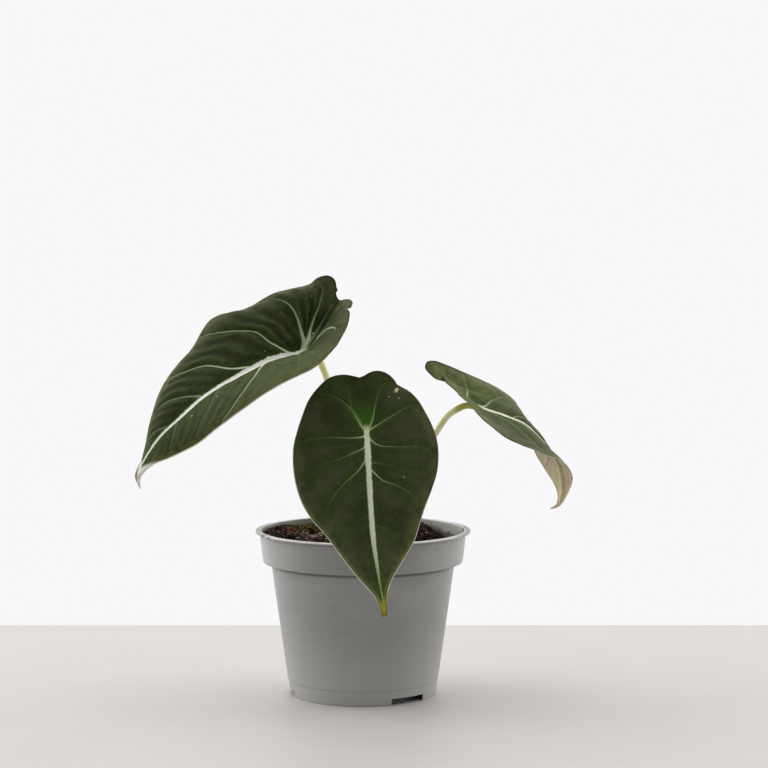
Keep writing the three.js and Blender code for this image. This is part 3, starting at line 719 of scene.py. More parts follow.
# %% Crumbs, bark, grit and moss
HEAPS = {
    "peat_crumbs": (
        ("peat_crumb", 0.92, [
            (0, (12, 8, 5)), (0.45, (30, 19, 12)), (0.75, (54, 34, 21)), (1, (96, 68, 44))]),
        dict(count=2600, seed=3, low=0.45, high=1.9, shape=(1, 1, 0.7), jitter=0.2, lift=0.0),
    ),
    "bark_chips": (
        ("bark", 0.8, [(0, (40, 25, 18)), (0.4, (64, 40, 28)), (0.75, (92, 60, 44)), (1, (132, 104, 80))]),
        dict(count=130, seed=5, low=1.1, high=3.2, shape=(1, 0.5, 0.22), jitter=0.1, lift=0.2),
    ),
    "red_bark": (
        ("red_bark", 0.8, [(0, (70, 36, 28)), (0.5, (116, 60, 48)), (1, (146, 92, 76))]),
        dict(count=70, seed=6, low=0.8, high=2.2, shape=(1, 0.6, 0.4), jitter=0.15, lift=0.3,
             zone=(-44, 20, 6)),
    ),
    "grit_grains": (
        ("grit", 0.7, [(0, (118, 110, 100)), (0.5, (176, 168, 156)), (1, (222, 218, 208))]),
        dict(count=170, seed=8, low=0.35, high=1.0, shape=(1, 0.85, 0.7), jitter=0.15, lift=0.4),
    ),
    "grey_bark": (
        ("grey_bark", 0.8, [(0, (76, 62, 54)), (0.5, (116, 98, 88)), (1, (164, 146, 134))]),
        dict(count=44, seed=12, low=1.0, high=2.4, shape=(1, 0.7, 0.45), jitter=0.15, lift=0.4,
             zone=(-25, 5, 6)),
    ),
    "moss_tufts": (
        ("moss", 0.85, [(0, (38, 44, 14)), (0.4, (74, 74, 22)), (0.8, (116, 100, 32)), (1, (160, 124, 50))]),
        dict(count=760, seed=11, low=0.3, high=0.9, shape=(1, 1, 0.8), jitter=0.25, lift=0.4,
             zone=(-27, 33, 8)),
    ),
}
for name, (finish_of_heap, heap) in HEAPS.items():
    add_piece(strew(**heap), name, loose_finish(*finish_of_heap), sharp_deg=25)

# %% [markdown]
# ## Leaf blades
# Each blade is an arrow head: a midrib from the notch between its lobes to the tip, and a margin round each
# half. Both are smooth lines through a few points in space, and the blade is spanned between them. A place
# on the blade has two shares: along, from the lobes at 0 to the tip at 1, and across, from -1 on the left
# margin over 0 on the rib to 1 on the right one, as seen from above with the tip down. The veins are drawn
# in the same two shares, so that they stay in their places when the blade is bent.
#
# Each half also has tracks, which are [along, value] stations with a smooth line between them. bulge arches
# the half, in millimetres. The others are for its finish: rim is a pale margin where it is positive and a
# red one where it is negative. The sheen track and the pale strip track paint a greyish sheen over the half
# and along its margin, a painted sheen that is strongest where a leaf is seen at grazing angles. The fold
# track paints shade in the troughs of the waves and light on their crests, painted shade and light, and tan
# is brown edges.
#
# A vein is its strength and the places [along, across] that it passes on its half. lobe is the number of
# margin points from the notch to the lobe's end. A spot is its place [along, across], its radius and its
# colour. The white spots on the left leaf are painted glints, highlights on dew on the blade.

# %% Leaf forms
LEAVES = {}

# %% Left leaf
LEAVES["left"] = {
    "rib": [
        (-13, 9, 219), (-21, 3, 206), (-32, -6, 191.5), (-44, -12, 188.5), (-55, -18, 185),
        (-72, -27, 176.5), (-83.5, -33, 169.5), (-93, -37, 162), (-101.5, -40.5, 154), (-109.5, -43, 146),
        (-115.5, -45.5, 137.5), (-119.5, -47, 130), (-121, -47.5, 125), (-119, -47, 120),
    ],
    "junction": 0.229,
    "tip_width": 1.0,
    # Painted glints: white and greyish highlights on dew.
    "spots_and_glints": [
        (0.289, 0.573, 0.5, (236, 238, 230)), (0.157, -0.074, 0.5, (236, 238, 230)),
        (0.3, 0.62, 0.4, (210, 214, 200)), (0.1, -0.62, 0.35, (200, 206, 190)),
        (0.596, 0.277, 0.55, (236, 238, 230)), (0.696, 0.277, 0.5, (236, 238, 230)),
        (0.346, -0.133, 0.35, (200, 206, 190)), (0.58, 0.24, 0.3, (210, 214, 200)),
    ],
    "rib_breadth": 1.45,
    "left": {
        "margin": [
            (-14.5, 9.5, 221), (-15, 9.5, 223.5), (-14.2, 10, 225), (-15, 10, 227), (-15.5, 10.5, 229.5),
            (-17.5, 11, 232), (-21, 13, 233), (-26, 16.5, 231.5), (-31, 20.5, 228), (-41.5, 22.5, 225.5),
            (-51.5, 20.5, 222.5), (-64, 19, 215.5), (-73.5, 18, 212.5), (-81.5, 15.5, 210.5),
            (-88, 12.5, 206), (-95.5, 7.5, 193), (-105, -2.5, 181), (-110.5, -13.5, 172),
            (-114.5, -25, 159.5), (-117, -35, 145), (-118, -40, 137), (-120.5, -45, 131),
            (-121.5, -47.5, 126),
        ],
        "lobe": 7,
        "bulge": [(0, 0), (0.3, 3), (0.7, 1.5), (1, 0)],
        "quilt": 1.2,
        "ripple": 1.0,
        "rim": [(0, -0.2), (0.45, -0.2), (0.62, 0.6), (1, 1)],
        "bloom": [(0, 0), (0.5, 0.04), (1, 0.05)],
        "folds": [(0, 0.35), (0.3, 0.6), (0.8, 0.5), (1, 0.2)],
        "pale_strip": [(0, 0.12), (0.1, 0.28), (0.7, 0.22), (1, 0.15)],
        "tan": [(0, 0.1), (0.4, 0.5), (0.8, 0.3), (1, 0.3)],
        "branches": 1,
        "veins": [
            (0.4, [(0.215, 0.02), (0.13, 0.06), (0.04, 0.12)]),
            (0.9, [(0.225, 0.03), (0.17, 0.12), (0.1, 0.33), (0.05, 0.65)]),
            (0.85, [(0.23, 0.03), (0.2, 0.13), (0.18, 0.47), (0.18, 0.73), (0.2, 0.92)]),
            (1.0, [(0.26, 0.03), (0.28, 0.07), (0.31, 0.25), (0.33, 0.45), (0.37, 0.57), (0.41, 0.73),
                   (0.45, 0.97)]),
            (1.0, [(0.42, 0.02), (0.48, 0.18), (0.53, 0.52), (0.58, 0.72), (0.63, 0.97)]),
            (0.3, [(0.62, 0.05), (0.66, 0.32), (0.71, 0.65), (0.76, 0.85)]),
            (0.12, [(0.77, 0.05), (0.81, 0.4), (0.85, 0.7)]),
        ],
    },
    "right": {
        "margin": [
            (-11, 6, 219.5), (-9, 1, 220), (-7, -5, 220), (-5.5, -10, 218.5), (-6, -16, 216.5),
            (-6.5, -19, 216), (-9, -21, 215.5), (-9.2, -22.5, 214.8), (-7.5, -25, 214.5), (-7, -30, 212.5),
            (-8, -39.5, 207.5), (-11.5, -49, 200), (-17, -54.5, 193), (-26.5, -60.5, 184.5),
            (-43, -66, 177), (-63, -67, 163.5), (-77, -63, 153), (-87.5, -58, 144.5), (-102, -54, 137),
            (-110.5, -52, 133.7), (-114.8, -50.5, 130.6), (-118.6, -49, 126.8), (-120.4, -48, 123.5),
        ],
        "lobe": 4,
        "bulge": [(0, 0), (0.3, -0.5), (0.7, 1), (1, 0)],
        "quilt": 0.5,
        "ripple": 0.4,
        "rim": [(0, -0.5), (0.25, 0.1), (0.45, 0.8), (1, 1)],
        "bloom": [(0, 0.03), (0.2, 0.07), (0.33, 0.22), (0.6, 0.13), (1, 0.05)],
        "folds": [(0, 0.05), (0.5, 0.12), (0.8, 0.35), (1, 0.3)],
        "pale_strip": [(0, 0.2), (0.3, 0), (0.8, 0), (1, 0.2)],
        "tan": [(0, 0.1), (0.1, 0.3), (0.4, 0.7), (0.7, 0.5), (0.9, 1), (1, 0.3)],
        "veins": [
            (0.3, [(0.15, 0.03), (0.11, 0.15), (0.09, 0.4), (0.06, 0.7)]),
            (0.9, [(0.222, 0.03), (0.164, 0.063), (0.139, 0.236), (0.157, 0.526), (0.18, 0.64)]),
            (0.15, [(0.26, 0.05), (0.3, 0.3), (0.35, 0.6), (0.41, 0.88)]),
            (1.0, [(0.385, 0.03), (0.425, 0.157), (0.496, 0.435), (0.561, 0.668), (0.654, 0.932)]),
            (0.12, [(0.56, 0.05), (0.64, 0.4), (0.72, 0.7), (0.77, 0.88)]),
            (0.08, [(0.74, 0.05), (0.79, 0.4), (0.84, 0.75)]),
        ],
    },
    "stalk": {
        "path": [
            (-4, 2, 76), (-5, 2.5, 100), (-9.5, 4, 134), (-15.5, 2, 159), (-20, 0, 176),
            (-22.4, -0.8, 182.5), (-25.6, -2.4, 187.5),
        ],
        "radii": (2.9, 2.1),
    },
}

# %% Front leaf
LEAVES["front"] = {
    "rib": [
        (-1.5, -38.5, 179), (1, -45, 166), (2.5, -52, 151.5), (4, -61, 126), (6, -69, 97),
        (9.3, -74.5, 75), (11.4, -78, 64), (12.1, -80, 56.6),
    ],
    "junction": 0.237,
    "tip_width": 2.6,
    "spots_and_glints": [
        (0.112, 0.75, 1.3, (214, 204, 150)), (0.12, 0.7, 1.0, (206, 192, 128)),
        (0.102, 0.79, 0.8, (200, 190, 130)),
        (0.139, 0.511, 0.5, (170, 172, 150)),
        (0.154, 0.668, 0.5, (170, 172, 150)), (0.468, 0.526, 0.5, (170, 172, 150)),
        (0.132, -0.798, 0.45, (130, 130, 90)),
    ],
    "rib_breadth": 1.05,
    "left": {
        "margin": [
            (-6, -38, 180), (-10, -38, 180.5), (-14.5, -39, 180), (-19, -40.5, 178), (-24, -43, 173.5),
            (-28.5, -46.5, 167.5), (-31.5, -50, 160.5), (-34.5, -54, 151.5), (-36.5, -57.5, 142),
            (-36, -61.5, 130), (-32.5, -65.5, 116.5), (-26.5, -68.5, 106), (-18, -71, 96.5),
            (-5, -75, 79.5), (4, -76.5, 69.5), (7, -77.2, 66), (8.6, -78, 62.3), (9.8, -79.2, 59.2),
        ],
        "lobe": 4,
        "bulge": [(0, 0), (0.3, 4), (0.7, 3), (1, 0)],
        "quilt": 0.45,
        "ripple": 0.2,
        "rim": [(0, -0.2), (0.2, 0.25), (0.6, 0.6), (0.9, 0.8), (1, 0.2)],
        "bloom": [(0, 0.01), (0.5, 0.05), (1, 0.08)],
        "folds": [(0, 0.06), (1, 0.1)],
        "pale_strip": [(0, 0), (0.5, 0.05), (1, 0.1)],
        "tan": [(0, 0), (1, 0.2)],
        "branches": 1,
        "veins": [
            (0.5, [(0.225, 0.05), (0.175, 0.15), (0.14, 0.22), (0.07, 0.28), (0.02, 0.45)]),
            (0.8, [(0.232, 0.05), (0.185, 0.15), (0.15, 0.25), (0.11, 0.48), (0.08, 0.88)]),
            (0.9, [(0.26, 0.03), (0.27, 0.08), (0.28, 0.27), (0.28, 0.65), (0.28, 0.97)]),
            (0.6, [(0.305, 0.03), (0.32, 0.08), (0.36, 0.35), (0.38, 0.58), (0.42, 0.83)]),
            (0.7, [(0.36, 0.03), (0.38, 0.07), (0.42, 0.18), (0.47, 0.4), (0.52, 0.6), (0.57, 0.78)]),
            (0.07, [(0.575, 0.03), (0.59, 0.07), (0.63, 0.43), (0.67, 0.7)]),
            (0.03, [(0.75, 0.05), (0.8, 0.4), (0.84, 0.7)]),
        ],
    },
    "right": {
        "margin": [
            (1, -38, 180), (3.5, -37.5, 181.5), (6.5, -37, 182.5), (9.5, -37, 182.5), (12.5, -38, 181.5),
            (15, -39, 180), (17.5, -40, 177.5), (19, -41, 175), (21.5, -42, 173.8), (25, -43.5, 172),
            (28.5, -45, 169), (32, -47, 164.5), (37.5, -52, 154), (40.5, -57, 143), (40, -61, 131.5),
            (37, -64, 121.5), (32.5, -67.5, 109.5), (28, -71, 95.5), (21.5, -73.5, 84.5),
            (16.5, -75.5, 76), (14.3, -76.6, 70.5), (13.7, -77.7, 65.5), (13.8, -79, 60.5),
        ],
        "lobe": 5,
        "bulge": [(0, 0), (0.3, 4), (0.7, 3), (1, 0)],
        "quilt": 0.45,
        "ripple": 0.2,
        "rim": [(0, -0.3), (0.15, -0.9), (0.42, -1), (0.58, 0.5), (0.9, 0.8), (1, 0.2)],
        "bloom": [(0, 0.02), (0.5, 0.06), (1, 0.08)],
        "folds": [(0, 0.06), (1, 0.1)],
        "pale_strip": [(0, 0), (0.5, 0.05), (1, 0.1)],
        "tan": [(0, 0.2), (0.4, 0.5), (0.7, 0.9), (1, 0.4)],
        "veins": [
            (0.8, [(0.23, 0.05), (0.2, 0.12), (0.14, 0.23), (0.08, 0.47), (0.06, 0.75)]),
            (0.9, [(0.24, 0.05), (0.225, 0.35), (0.2, 0.68), (0.18, 0.95)]),
            (0.8, [(0.27, 0.02), (0.32, 0.18), (0.35, 0.48), (0.36, 0.78), (0.38, 0.92)]),
            (0.16, [(0.375, 0.04), (0.42, 0.4), (0.45, 0.7)]),
            (0.75, [(0.405, 0.03), (0.46, 0.2), (0.49, 0.4), (0.53, 0.65), (0.58, 0.87)]),
            (0.08, [(0.63, 0.04), (0.68, 0.48), (0.73, 0.75)]),
            (0.03, [(0.78, 0.05), (0.82, 0.4), (0.86, 0.7)]),
        ],
    },
    "stalk": {
        "path": [(0, -4, 76), (-0.5, -4.5, 98), (-3, -12, 124), (-2, -28, 149), (0.5, -42, 156)],
        "radii": (2.8, 2.0),
    },
}

# %% Right leaf
LEAVES["right"] = {
    "rib": [
        (45.5, 4.5, 176.5), (48.5, 4.5, 174), (52.5, 4, 170.5), (56.5, 3.5, 167), (60, 2.5, 164),
        (65.5, 1, 160.5), (70.5, 0.5, 158), (78.5, 0, 155.5), (89, 0, 151), (98, 0, 143.5),
        (104, 1, 136.5), (108.5, 2, 131), (111, 4, 124.5), (112, 5, 116.5), (111.5, 5, 109.5),
        (109, 4.5, 104.5), (105, 4, 102.5),
    ],
    "junction": 0.178,
    "tip_width": 0.3,
    "spots_and_glints": [],
    "rib_breadth": 0.8,
    "left": {
        "margin": [
            (46, 2.5, 175.5), (46, -1.5, 174), (48, -8, 172.5), (51, -14, 171), (53, -19, 168.5),
            (55, -23, 166.5), (57, -26.5, 165), (60, -30, 162), (63.5, -32.5, 158), (68.5, -34.5, 153.5),
            (77.5, -35, 146.5), (85.5, -33, 142.5), (93.5, -29.5, 139), (100, -24, 135.5),
            (107.5, -17, 132.5), (113.5, -10, 128), (116.5, -4.5, 122.5), (116.5, -0.5, 117),
            (113, 2.5, 108), (109.6, 4.2, 103.9),
        ],
        "lobe": 3,
        "bulge": [(0, 0), (0.3, 0.3), (0.55, 1), (0.85, 1), (1, 0)],
        "quilt": 0.3,
        "ripple": 0.15,
        "rim": [(0, -0.1), (0.4, 0), (0.6, 0.6), (1, 0.6)],
        "bloom": [(0, 0.16), (0.5, 0.14), (1, 0.18)],
        "folds": [(0, 0.2), (1, 0.3)],
        "pale_strip": [(0, 0.25), (1, 0.35)],
        "tan": [(0, 0.2), (1, 0.2)],
        "veins": [
            (0.4, [(0.186, 0.04), (0.138, 0.3), (0.099, 0.65)]),
            (0.4, [(0.192, 0.05), (0.224, 0.3), (0.234, 0.6), (0.243, 0.9)]),
            (0.55, [(0.224, 0.04), (0.32, 0.15), (0.425, 0.3), (0.521, 0.6), (0.588, 0.85)]),
            (0.45, [(0.425, 0.04), (0.54, 0.22), (0.636, 0.5), (0.693, 0.8)]),
            (0.3, [(0.617, 0.05), (0.713, 0.35), (0.78, 0.7)]),
        ],
    },
    "right": {
        "margin": [
            (45.6, 7, 176.2), (44.8, 9.3, 177.1), (43.6, 9.9, 175.4), (42.6, 10.3, 174.9), (41.2, 11, 175),
            (38.7, 12, 176.6), (36, 12.8, 179.2), (34.8, 13.5, 181.5), (36, 14.5, 184.5), (39.5, 16, 185),
            (43.5, 18, 184), (57, 24, 178), (72, 32, 171), (79, 34, 167), (86.5, 34.5, 161),
            (90.5, 34.5, 154), (95, 33, 147), (97.5, 30, 140), (98, 26, 132.5), (102.5, 18, 124),
            (108, 12, 115.5), (110, 8, 108), (108.9, 5, 104.7),
        ],
        "lobe": 9,
        "bulge": [(0, 0), (0.3, 4), (0.6, 2), (1, 0)],
        "quilt": 0.45,
        "ripple": 0.2,
        "rim": [(0, 0), (0.2, 0), (0.6, 0.5), (1, 0.6)],
        "bloom": [(0, 0.6), (0.2, 0.34), (0.45, 0.16), (1, 0.2)],
        "folds": [(0, 0.2), (1, 0.3)],
        "pale_strip": [(0, 0.42), (1, 0.3)],
        "tan": [(0, 0.3), (1, 0.2)],
        "veins": [
            (0.1, [(0.12, 0.05), (0.105, 0.3), (0.09, 0.65)]),
            (0.8, [(0.15, 0.02), (0.146, 0.09), (0.148, 0.21), (0.163, 0.4), (0.179, 0.59),
                   (0.186, 0.815), (0.177, 0.98)]),
            (0.9, [(0.24, 0.02), (0.26, 0.1), (0.279, 0.236), (0.321, 0.465), (0.375, 0.732), (0.43, 0.95)]),
            (0.35, [(0.406, 0.04), (0.492, 0.35), (0.569, 0.75)]),
            (0.3, [(0.598, 0.05), (0.684, 0.4), (0.751, 0.75)]),
        ],
    },
    "stalk": {
        "path": [
            (4, 2, 76), (7, 2, 95), (17.5, 1, 112), (31, 0, 131.3), (41.2, 0, 146.7), (46.2, 0, 154),
            (50, 0, 157.4), (53.8, 0.4, 159.5), (57.1, 1.2, 160.7),
        ],
        "radii": (2.6, 1.85),
    },
}

# %% Smooth lines through points
POINTS_PER_SPAN = 24


def smooth_line(points, per_span=POINTS_PER_SPAN):
    """Points close together on the smooth line that runs through the given ones."""
    given = np.array(points, float)
    padded = np.vstack([2 * given[0] - given[1], given, 2 * given[-1] - given[-2]])
    t = np.linspace(0, 1, per_span, endpoint=False)[:, None]
    spans = [0.5 * (2 * b + (c - a) * t + (2 * a - 5 * b + 4 * c - d) * t ** 2
                    + (3 * b - a - 3 * c + d) * t ** 3)
             for a, b, c, d in zip(padded, padded[1:], padded[2:], padded[3:])]
    return np.vstack(spans + [given[-1:]])


def spaced(line, shares):
    """Points of a line at these shares of its length."""
    steps = np.linalg.norm(np.diff(line, axis=0), axis=1)
    run = np.concatenate([[0], np.cumsum(steps)])
    return np.stack([np.interp(np.asarray(shares) * run[-1], run, part) for part in line.T], axis=-1)


def track(stations, shares):
    """Values of a smooth track through [share, value] stations."""
    at, values = np.array(stations, float).T
    step = np.clip(np.searchsorted(at, shares, side="right") - 1, 0, len(at) - 2)
    t = np.clip((shares - at[step]) / (at[step + 1] - at[step]), 0, 1)
    return values[step] + (values[step + 1] - values[step]) * t * t * (3 - 2 * t)


def unit(vectors):
    return vectors / np.maximum(np.linalg.norm(vectors, axis=-1, keepdims=True), 1e-9)


def normals_of(points):
    """Directions out of the upper side of a grid of points [row, column]."""
    return unit(np.cross(np.gradient(points, axis=0), np.gradient(points, axis=1)))


# %% Small nicks in a margin
SOFTENING_ROUNDS = 90


def softened(line, fixed=()):
    """The same points with small nicks smoothed out. The ends and the fixed places stay."""
    soft = line.copy()
    for _ in range(SOFTENING_ROUNDS):
        soft[1:-1] = (soft[:-2] + 2 * soft[1:-1] + soft[2:]) / 4
        for place in fixed:
            soft[place] = line[place]
    return soft


# %% Spanning a blade
NICK_REACH = 0.02
BLADE_ROWS = 280
HALF_COLUMNS = 70
COLUMN_CROWDING = 1.2
along = np.linspace(0, 1, BLADE_ROWS + 1)
across = np.linspace(-1, 1, 2 * HALF_COLUMNS + 1)
across = np.sign(across) * np.abs(across) ** COLUMN_CROWDING
out = np.abs(across)


def span_blade(leaf):
    """The upper side of a blade as points [row, column], before veins and folds."""
    rib = np.array(leaf["rib"], float)
    rib_line = smooth_line(rib)
    last_left, last_right = (np.array(leaf[side]["margin"][-1], float) for side in ("left", "right"))
    sideways = unit(last_right - last_left)
    points = np.zeros((len(along), len(across), 3))
    arch = np.zeros((len(along), len(across), 1))
    for side, sign in (("left", -1), ("right", 1)):
        half = leaf[side]
        end = rib[-1] + sideways * sign * leaf["tip_width"] / 2
        margin = smooth_line([rib[0], *half["margin"], end])
        corner = POINTS_PER_SPAN * half["lobe"]
        lobe = spaced(margin[:corner + 1], out)
        soft_lobe = softened(lobe, fixed=(HALF_COLUMNS,))
        edge = spaced(margin[corner:], along)
        soft_edge = softened(edge)
        middle = spaced(rib_line, along)[:, None]
        outward, down = out[None, :, None], along[:, None, None]
        chord = lobe[HALF_COLUMNS] * (1 - outward) + margin[corner] * outward
        spanned = middle * (1 - outward) + soft_edge[:, None] * outward
        spanned = spanned + (soft_lobe[None] - chord) * (1 - down)
        spanned = spanned + (lobe - soft_lobe)[None] * np.exp(-down / NICK_REACH)
        spanned = spanned + (edge - soft_edge)[:, None] * np.exp((outward - 1) / NICK_REACH / 2)
        mine = across * sign >= 0
        points[:, mine] = spanned[:, mine]
        rise = 4 * out * (1 - out) * track(half["bulge"], along)[:, None]
        arch[:, mine, 0] = rise[:, mine]
    return points + normals_of(points) * arch


# %% [markdown]
# ### Veins as one number
# Instead of measuring the distance to every vein, each half gets one number, its phase: 0 on the vein
# nearest the lobe, 1 on the next and so on, rising evenly between them. Wherever the phase is whole there
# is a vein. The shader draws lines there, and the relief sinks there and swells in between, as a quilt
# does. How fast the phase rises across the surface turns it back into millimetres.

# %% Phase of the veins
LAST_SPACING = 0.12
LEAST_SPACING = 0.002
VEIN_PAST_END = 0.12
VEIN_FADE = 0.3


def vein_phase(leaf):
    """Phase, and strength of the nearest vein, at every place of a blade."""
    phase = np.zeros((len(along), len(across)))
    strength = np.zeros_like(phase)
    for side, sign in (("left", -1), ("right", 1)):
        veins = leaf[side]["veins"]
        for column in np.flatnonzero(across * sign >= 0):
            lines = []
            for _, places in veins:
                line = smooth_line(places, per_span=12)
                crossed = np.interp(out[column], np.maximum.accumulate(line[:, 1]), line[:, 0])
                lines.append(max(crossed, lines[-1] + LEAST_SPACING) if lines else crossed)
            lines = np.array([lines[0] - LAST_SPACING] + lines + [lines[-1] + LAST_SPACING])
            value = np.interp(along, lines, np.arange(-1, len(veins) + 1))
            value = np.where(along > lines[-1], len(veins) + (along - lines[-1]) / LAST_SPACING, value)
            value = np.where(along < lines[0], -1 - (lines[0] - along) / LAST_SPACING, value)
            nearest = np.clip(np.round(value), 0, len(veins) - 1).astype(int)
            full = np.array([vein[0] for vein in veins])[nearest]
            reach = np.array([vein[1][-1][1] for vein in veins])[nearest]
            fading = np.clip((reach + VEIN_PAST_END - out[column]) / VEIN_FADE, 0, 1)
            real = (np.round(value) >= 0) & (np.round(value) <= len(veins) - 1)
            phase[:, column] = value - leaf[side].get("branches", 0)
            strength[:, column] = full * fading * real
    strength[:, HALF_COLUMNS] = 0
    return phase, strength


def spacing_of(phase, points):
    """Millimetres over the surface in which the phase rises by one."""
    down, right = np.gradient(points, axis=0), np.gradient(points, axis=1)
    rise_down, rise_right = np.gradient(phase, axis=0), np.gradient(phase, axis=1)
    e, f, g = (down * down).sum(-1), (down * right).sum(-1), (right * right).sum(-1)
    steep = g * rise_down ** 2 - 2 * f * rise_down * rise_right + e * rise_right ** 2
    area = np.maximum(e * g - f * f, 1e-9)
    return 1 / np.sqrt(np.maximum(steep / area, 1e-6))


# %% [markdown]
# ### Relief
# On the upper side the veins lie in shallow grooves and the skin swells between them. On the lower side the
# same veins stand out as ribs, the midrib most of all, because it carries on the stalk. The blade is nearly
# a millimetre thick at its middle and thins to its margin.

# %% Measures of the relief
MIDDLE_THICKNESS = 0.8
MARGIN_THICKNESS = 0.28
THINNING_BREADTH = 7
MIDRIB_RADIUS = (1.5, 0.5)
VEIN_RIDGE = 0.55
RIDGE_BREADTH = 0.7
RIDGE_BY_MARGIN = 4
GROOVE_DEPTH = 0.22
GROOVE_BREADTH = 0.9
RIB_DEPTH = 0.1
RIB_BREADTH = 2.4
CALM_BREADTH = 14
CALM_BY_MARGIN = 5
CALM_BY_RIB = 9
FULL_SWELL_SPACING = 11
WAVE_SIZE = 14
WAVE_HEIGHT = 0.5
RIPPLE_SIZE = 3.3
RIPPLE_HEIGHT = 0.1
SWELLS_PER_GAP = 3
RIB_WIDTHS = [
    (0, 1.3), (0.2, 1.35), (0.33, 1.7), (0.42, 1.3), (0.6, 0.86), (0.8, 0.5), (0.95, 0.25), (1, 0.2),
]


# %% Distances and noise on a blade
def distances(points, leaf):
    """Signed millimetres from the rib along each row, millimetres from the margin, and from the junction."""
    steps = np.linalg.norm(np.diff(points, axis=1), axis=2)
    run = np.concatenate([np.zeros((len(along), 1)), np.cumsum(steps, axis=1)], axis=1)
    from_rib = run - run[:, HALF_COLUMNS:HALF_COLUMNS + 1]
    rim = np.vstack([smooth_line(line, per_span=4) for line in (points[:, 0], points[:, -1], points[0])])
    tree = kdtree.KDTree(len(rim))
    for index, point in enumerate(rim):
        tree.insert(point, index)
    tree.balance()
    from_margin = np.array([tree.find(point)[2] for point in points.reshape(-1, 3)]).reshape(from_rib.shape)
    junction = points[int(round(leaf["junction"] * BLADE_ROWS)), HALF_COLUMNS]
    return from_rib, from_margin, np.linalg.norm(points - junction, axis=2)


def noise_over(points, size, shift):
    """Smooth noise at every point of a grid, with lumps of about this size in millimetres."""
    values = [noise.noise(Vector(point) / size + Vector(shift)) for point in points.reshape(-1, 3)]
    return np.array(values).reshape(points.shape[:2])


def by_half(leaf, name):
    """A track of each half at every place of a blade."""
    left, right = (track(leaf[side][name], along)[:, None] for side in ("left", "right"))
    return np.where(across[None] < 0, left, right)


# %% Upper and lower sides of a blade
def relief(points, leaf, seed):
    """Upper and lower points of a blade, and what its finish needs to know about every place."""
    phase, strength = vein_phase(leaf)
    spacing = spacing_of(phase, points)
    spacing[:, HALF_COLUMNS - 1:HALF_COLUMNS + 2] = spacing[:, HALF_COLUMNS - 2:HALF_COLUMNS + 3:2].mean()
    from_rib, from_margin, from_junction = distances(points, leaf)
    normals = normals_of(points)
    off_vein = np.abs(phase - np.round(phase)) * spacing
    past_junction = np.clip((along - leaf["junction"]) / 0.03 + 1, 0, 1)[:, None]
    breadth = (from_rib[:, -1:] - from_rib[:, :1]) / 2
    breadth_share = np.clip(breadth / CALM_BREADTH, 0, 1)
    quilt, ripple = [np.where(across < 0, leaf["left"][name], leaf["right"][name])
                     for name in ("quilt", "ripple")]
    groove = strength * np.exp(-(off_vein / GROOVE_BREADTH) ** 2)
    gap = np.clip(spacing / FULL_SWELL_SPACING, 0, 1)
    swell = np.abs(np.sin(np.pi * phase)) ** 0.9 * quilt
    minor = np.sin(SWELLS_PER_GAP * np.pi * phase) ** 2 * ripple
    inner = np.clip(from_margin / CALM_BY_MARGIN, 0, 1) * np.clip(np.abs(from_rib) / CALM_BY_RIB, 0, 1)
    real = np.clip(phase + 1, 0, 1) * (1 - along[:, None]) ** 0.3
    waves = WAVE_HEIGHT * noise_over(points, WAVE_SIZE, (seed, 0, 0))
    ripples = RIPPLE_HEIGHT * noise_over(points, RIPPLE_SIZE, (0, seed, 0))
    lift = (swell + minor) * gap * inner * real + breadth_share ** 2 * (waves + ripples)
    lift = lift - GROOVE_DEPTH * groove - RIB_DEPTH * np.exp(-(from_rib / RIB_BREADTH) ** 2) * past_junction
    body = np.clip(from_margin / THINNING_BREADTH, 0, 1)
    thickness = MARGIN_THICKNESS + (MIDDLE_THICKNESS - MARGIN_THICKNESS) * body * (2 - body)
    radius = MIDRIB_RADIUS[0] + (MIDRIB_RADIUS[1] - MIDRIB_RADIUS[0]) * along[:, None]
    keel = radius * np.sqrt(np.clip(1 - (from_rib / (1.5 * radius)) ** 2, 0, 1)) * past_junction
    keel = keel * breadth_share
    ridge = VEIN_RIDGE * strength * np.exp(-(off_vein / RIDGE_BREADTH) ** 2)
    ridge = ridge * np.clip(from_margin / RIDGE_BY_MARGIN, 0, 1)
    upper = points + normals * lift[..., None]
    under = np.maximum(thickness + np.maximum(keel * 1.1, ridge), 0.2)
    lower = upper - normals * (under - np.minimum(0, lift * 0.3))[..., None]
    rim, bloom, tan, folds, pale = [
        by_half(leaf, name) for name in ("rim", "bloom", "tan", "folds", "pale_strip")]
    girth = np.broadcast_to(track(RIB_WIDTHS, along)[:, None] * leaf["rib_breadth"], phase.shape)
    sites = {
        "veins": np.stack([phase, spacing, strength], axis=-1),
        "places": np.stack([from_rib, from_margin, from_junction], axis=-1),
        "edges": np.stack([girth, rim, pale], axis=-1),
        "tones": np.stack([bloom, tan, folds], axis=-1),
    }
    return upper, lower, sites


# %% [markdown]
# ### Building the blade
# A flat grid with one square per place is solidified while it is still flat, which gives it its lower side
# and a rim. Then every corner is moved to its own place in space. The places of the veins travel with it as
# attributes, and the two shares become the UV map.


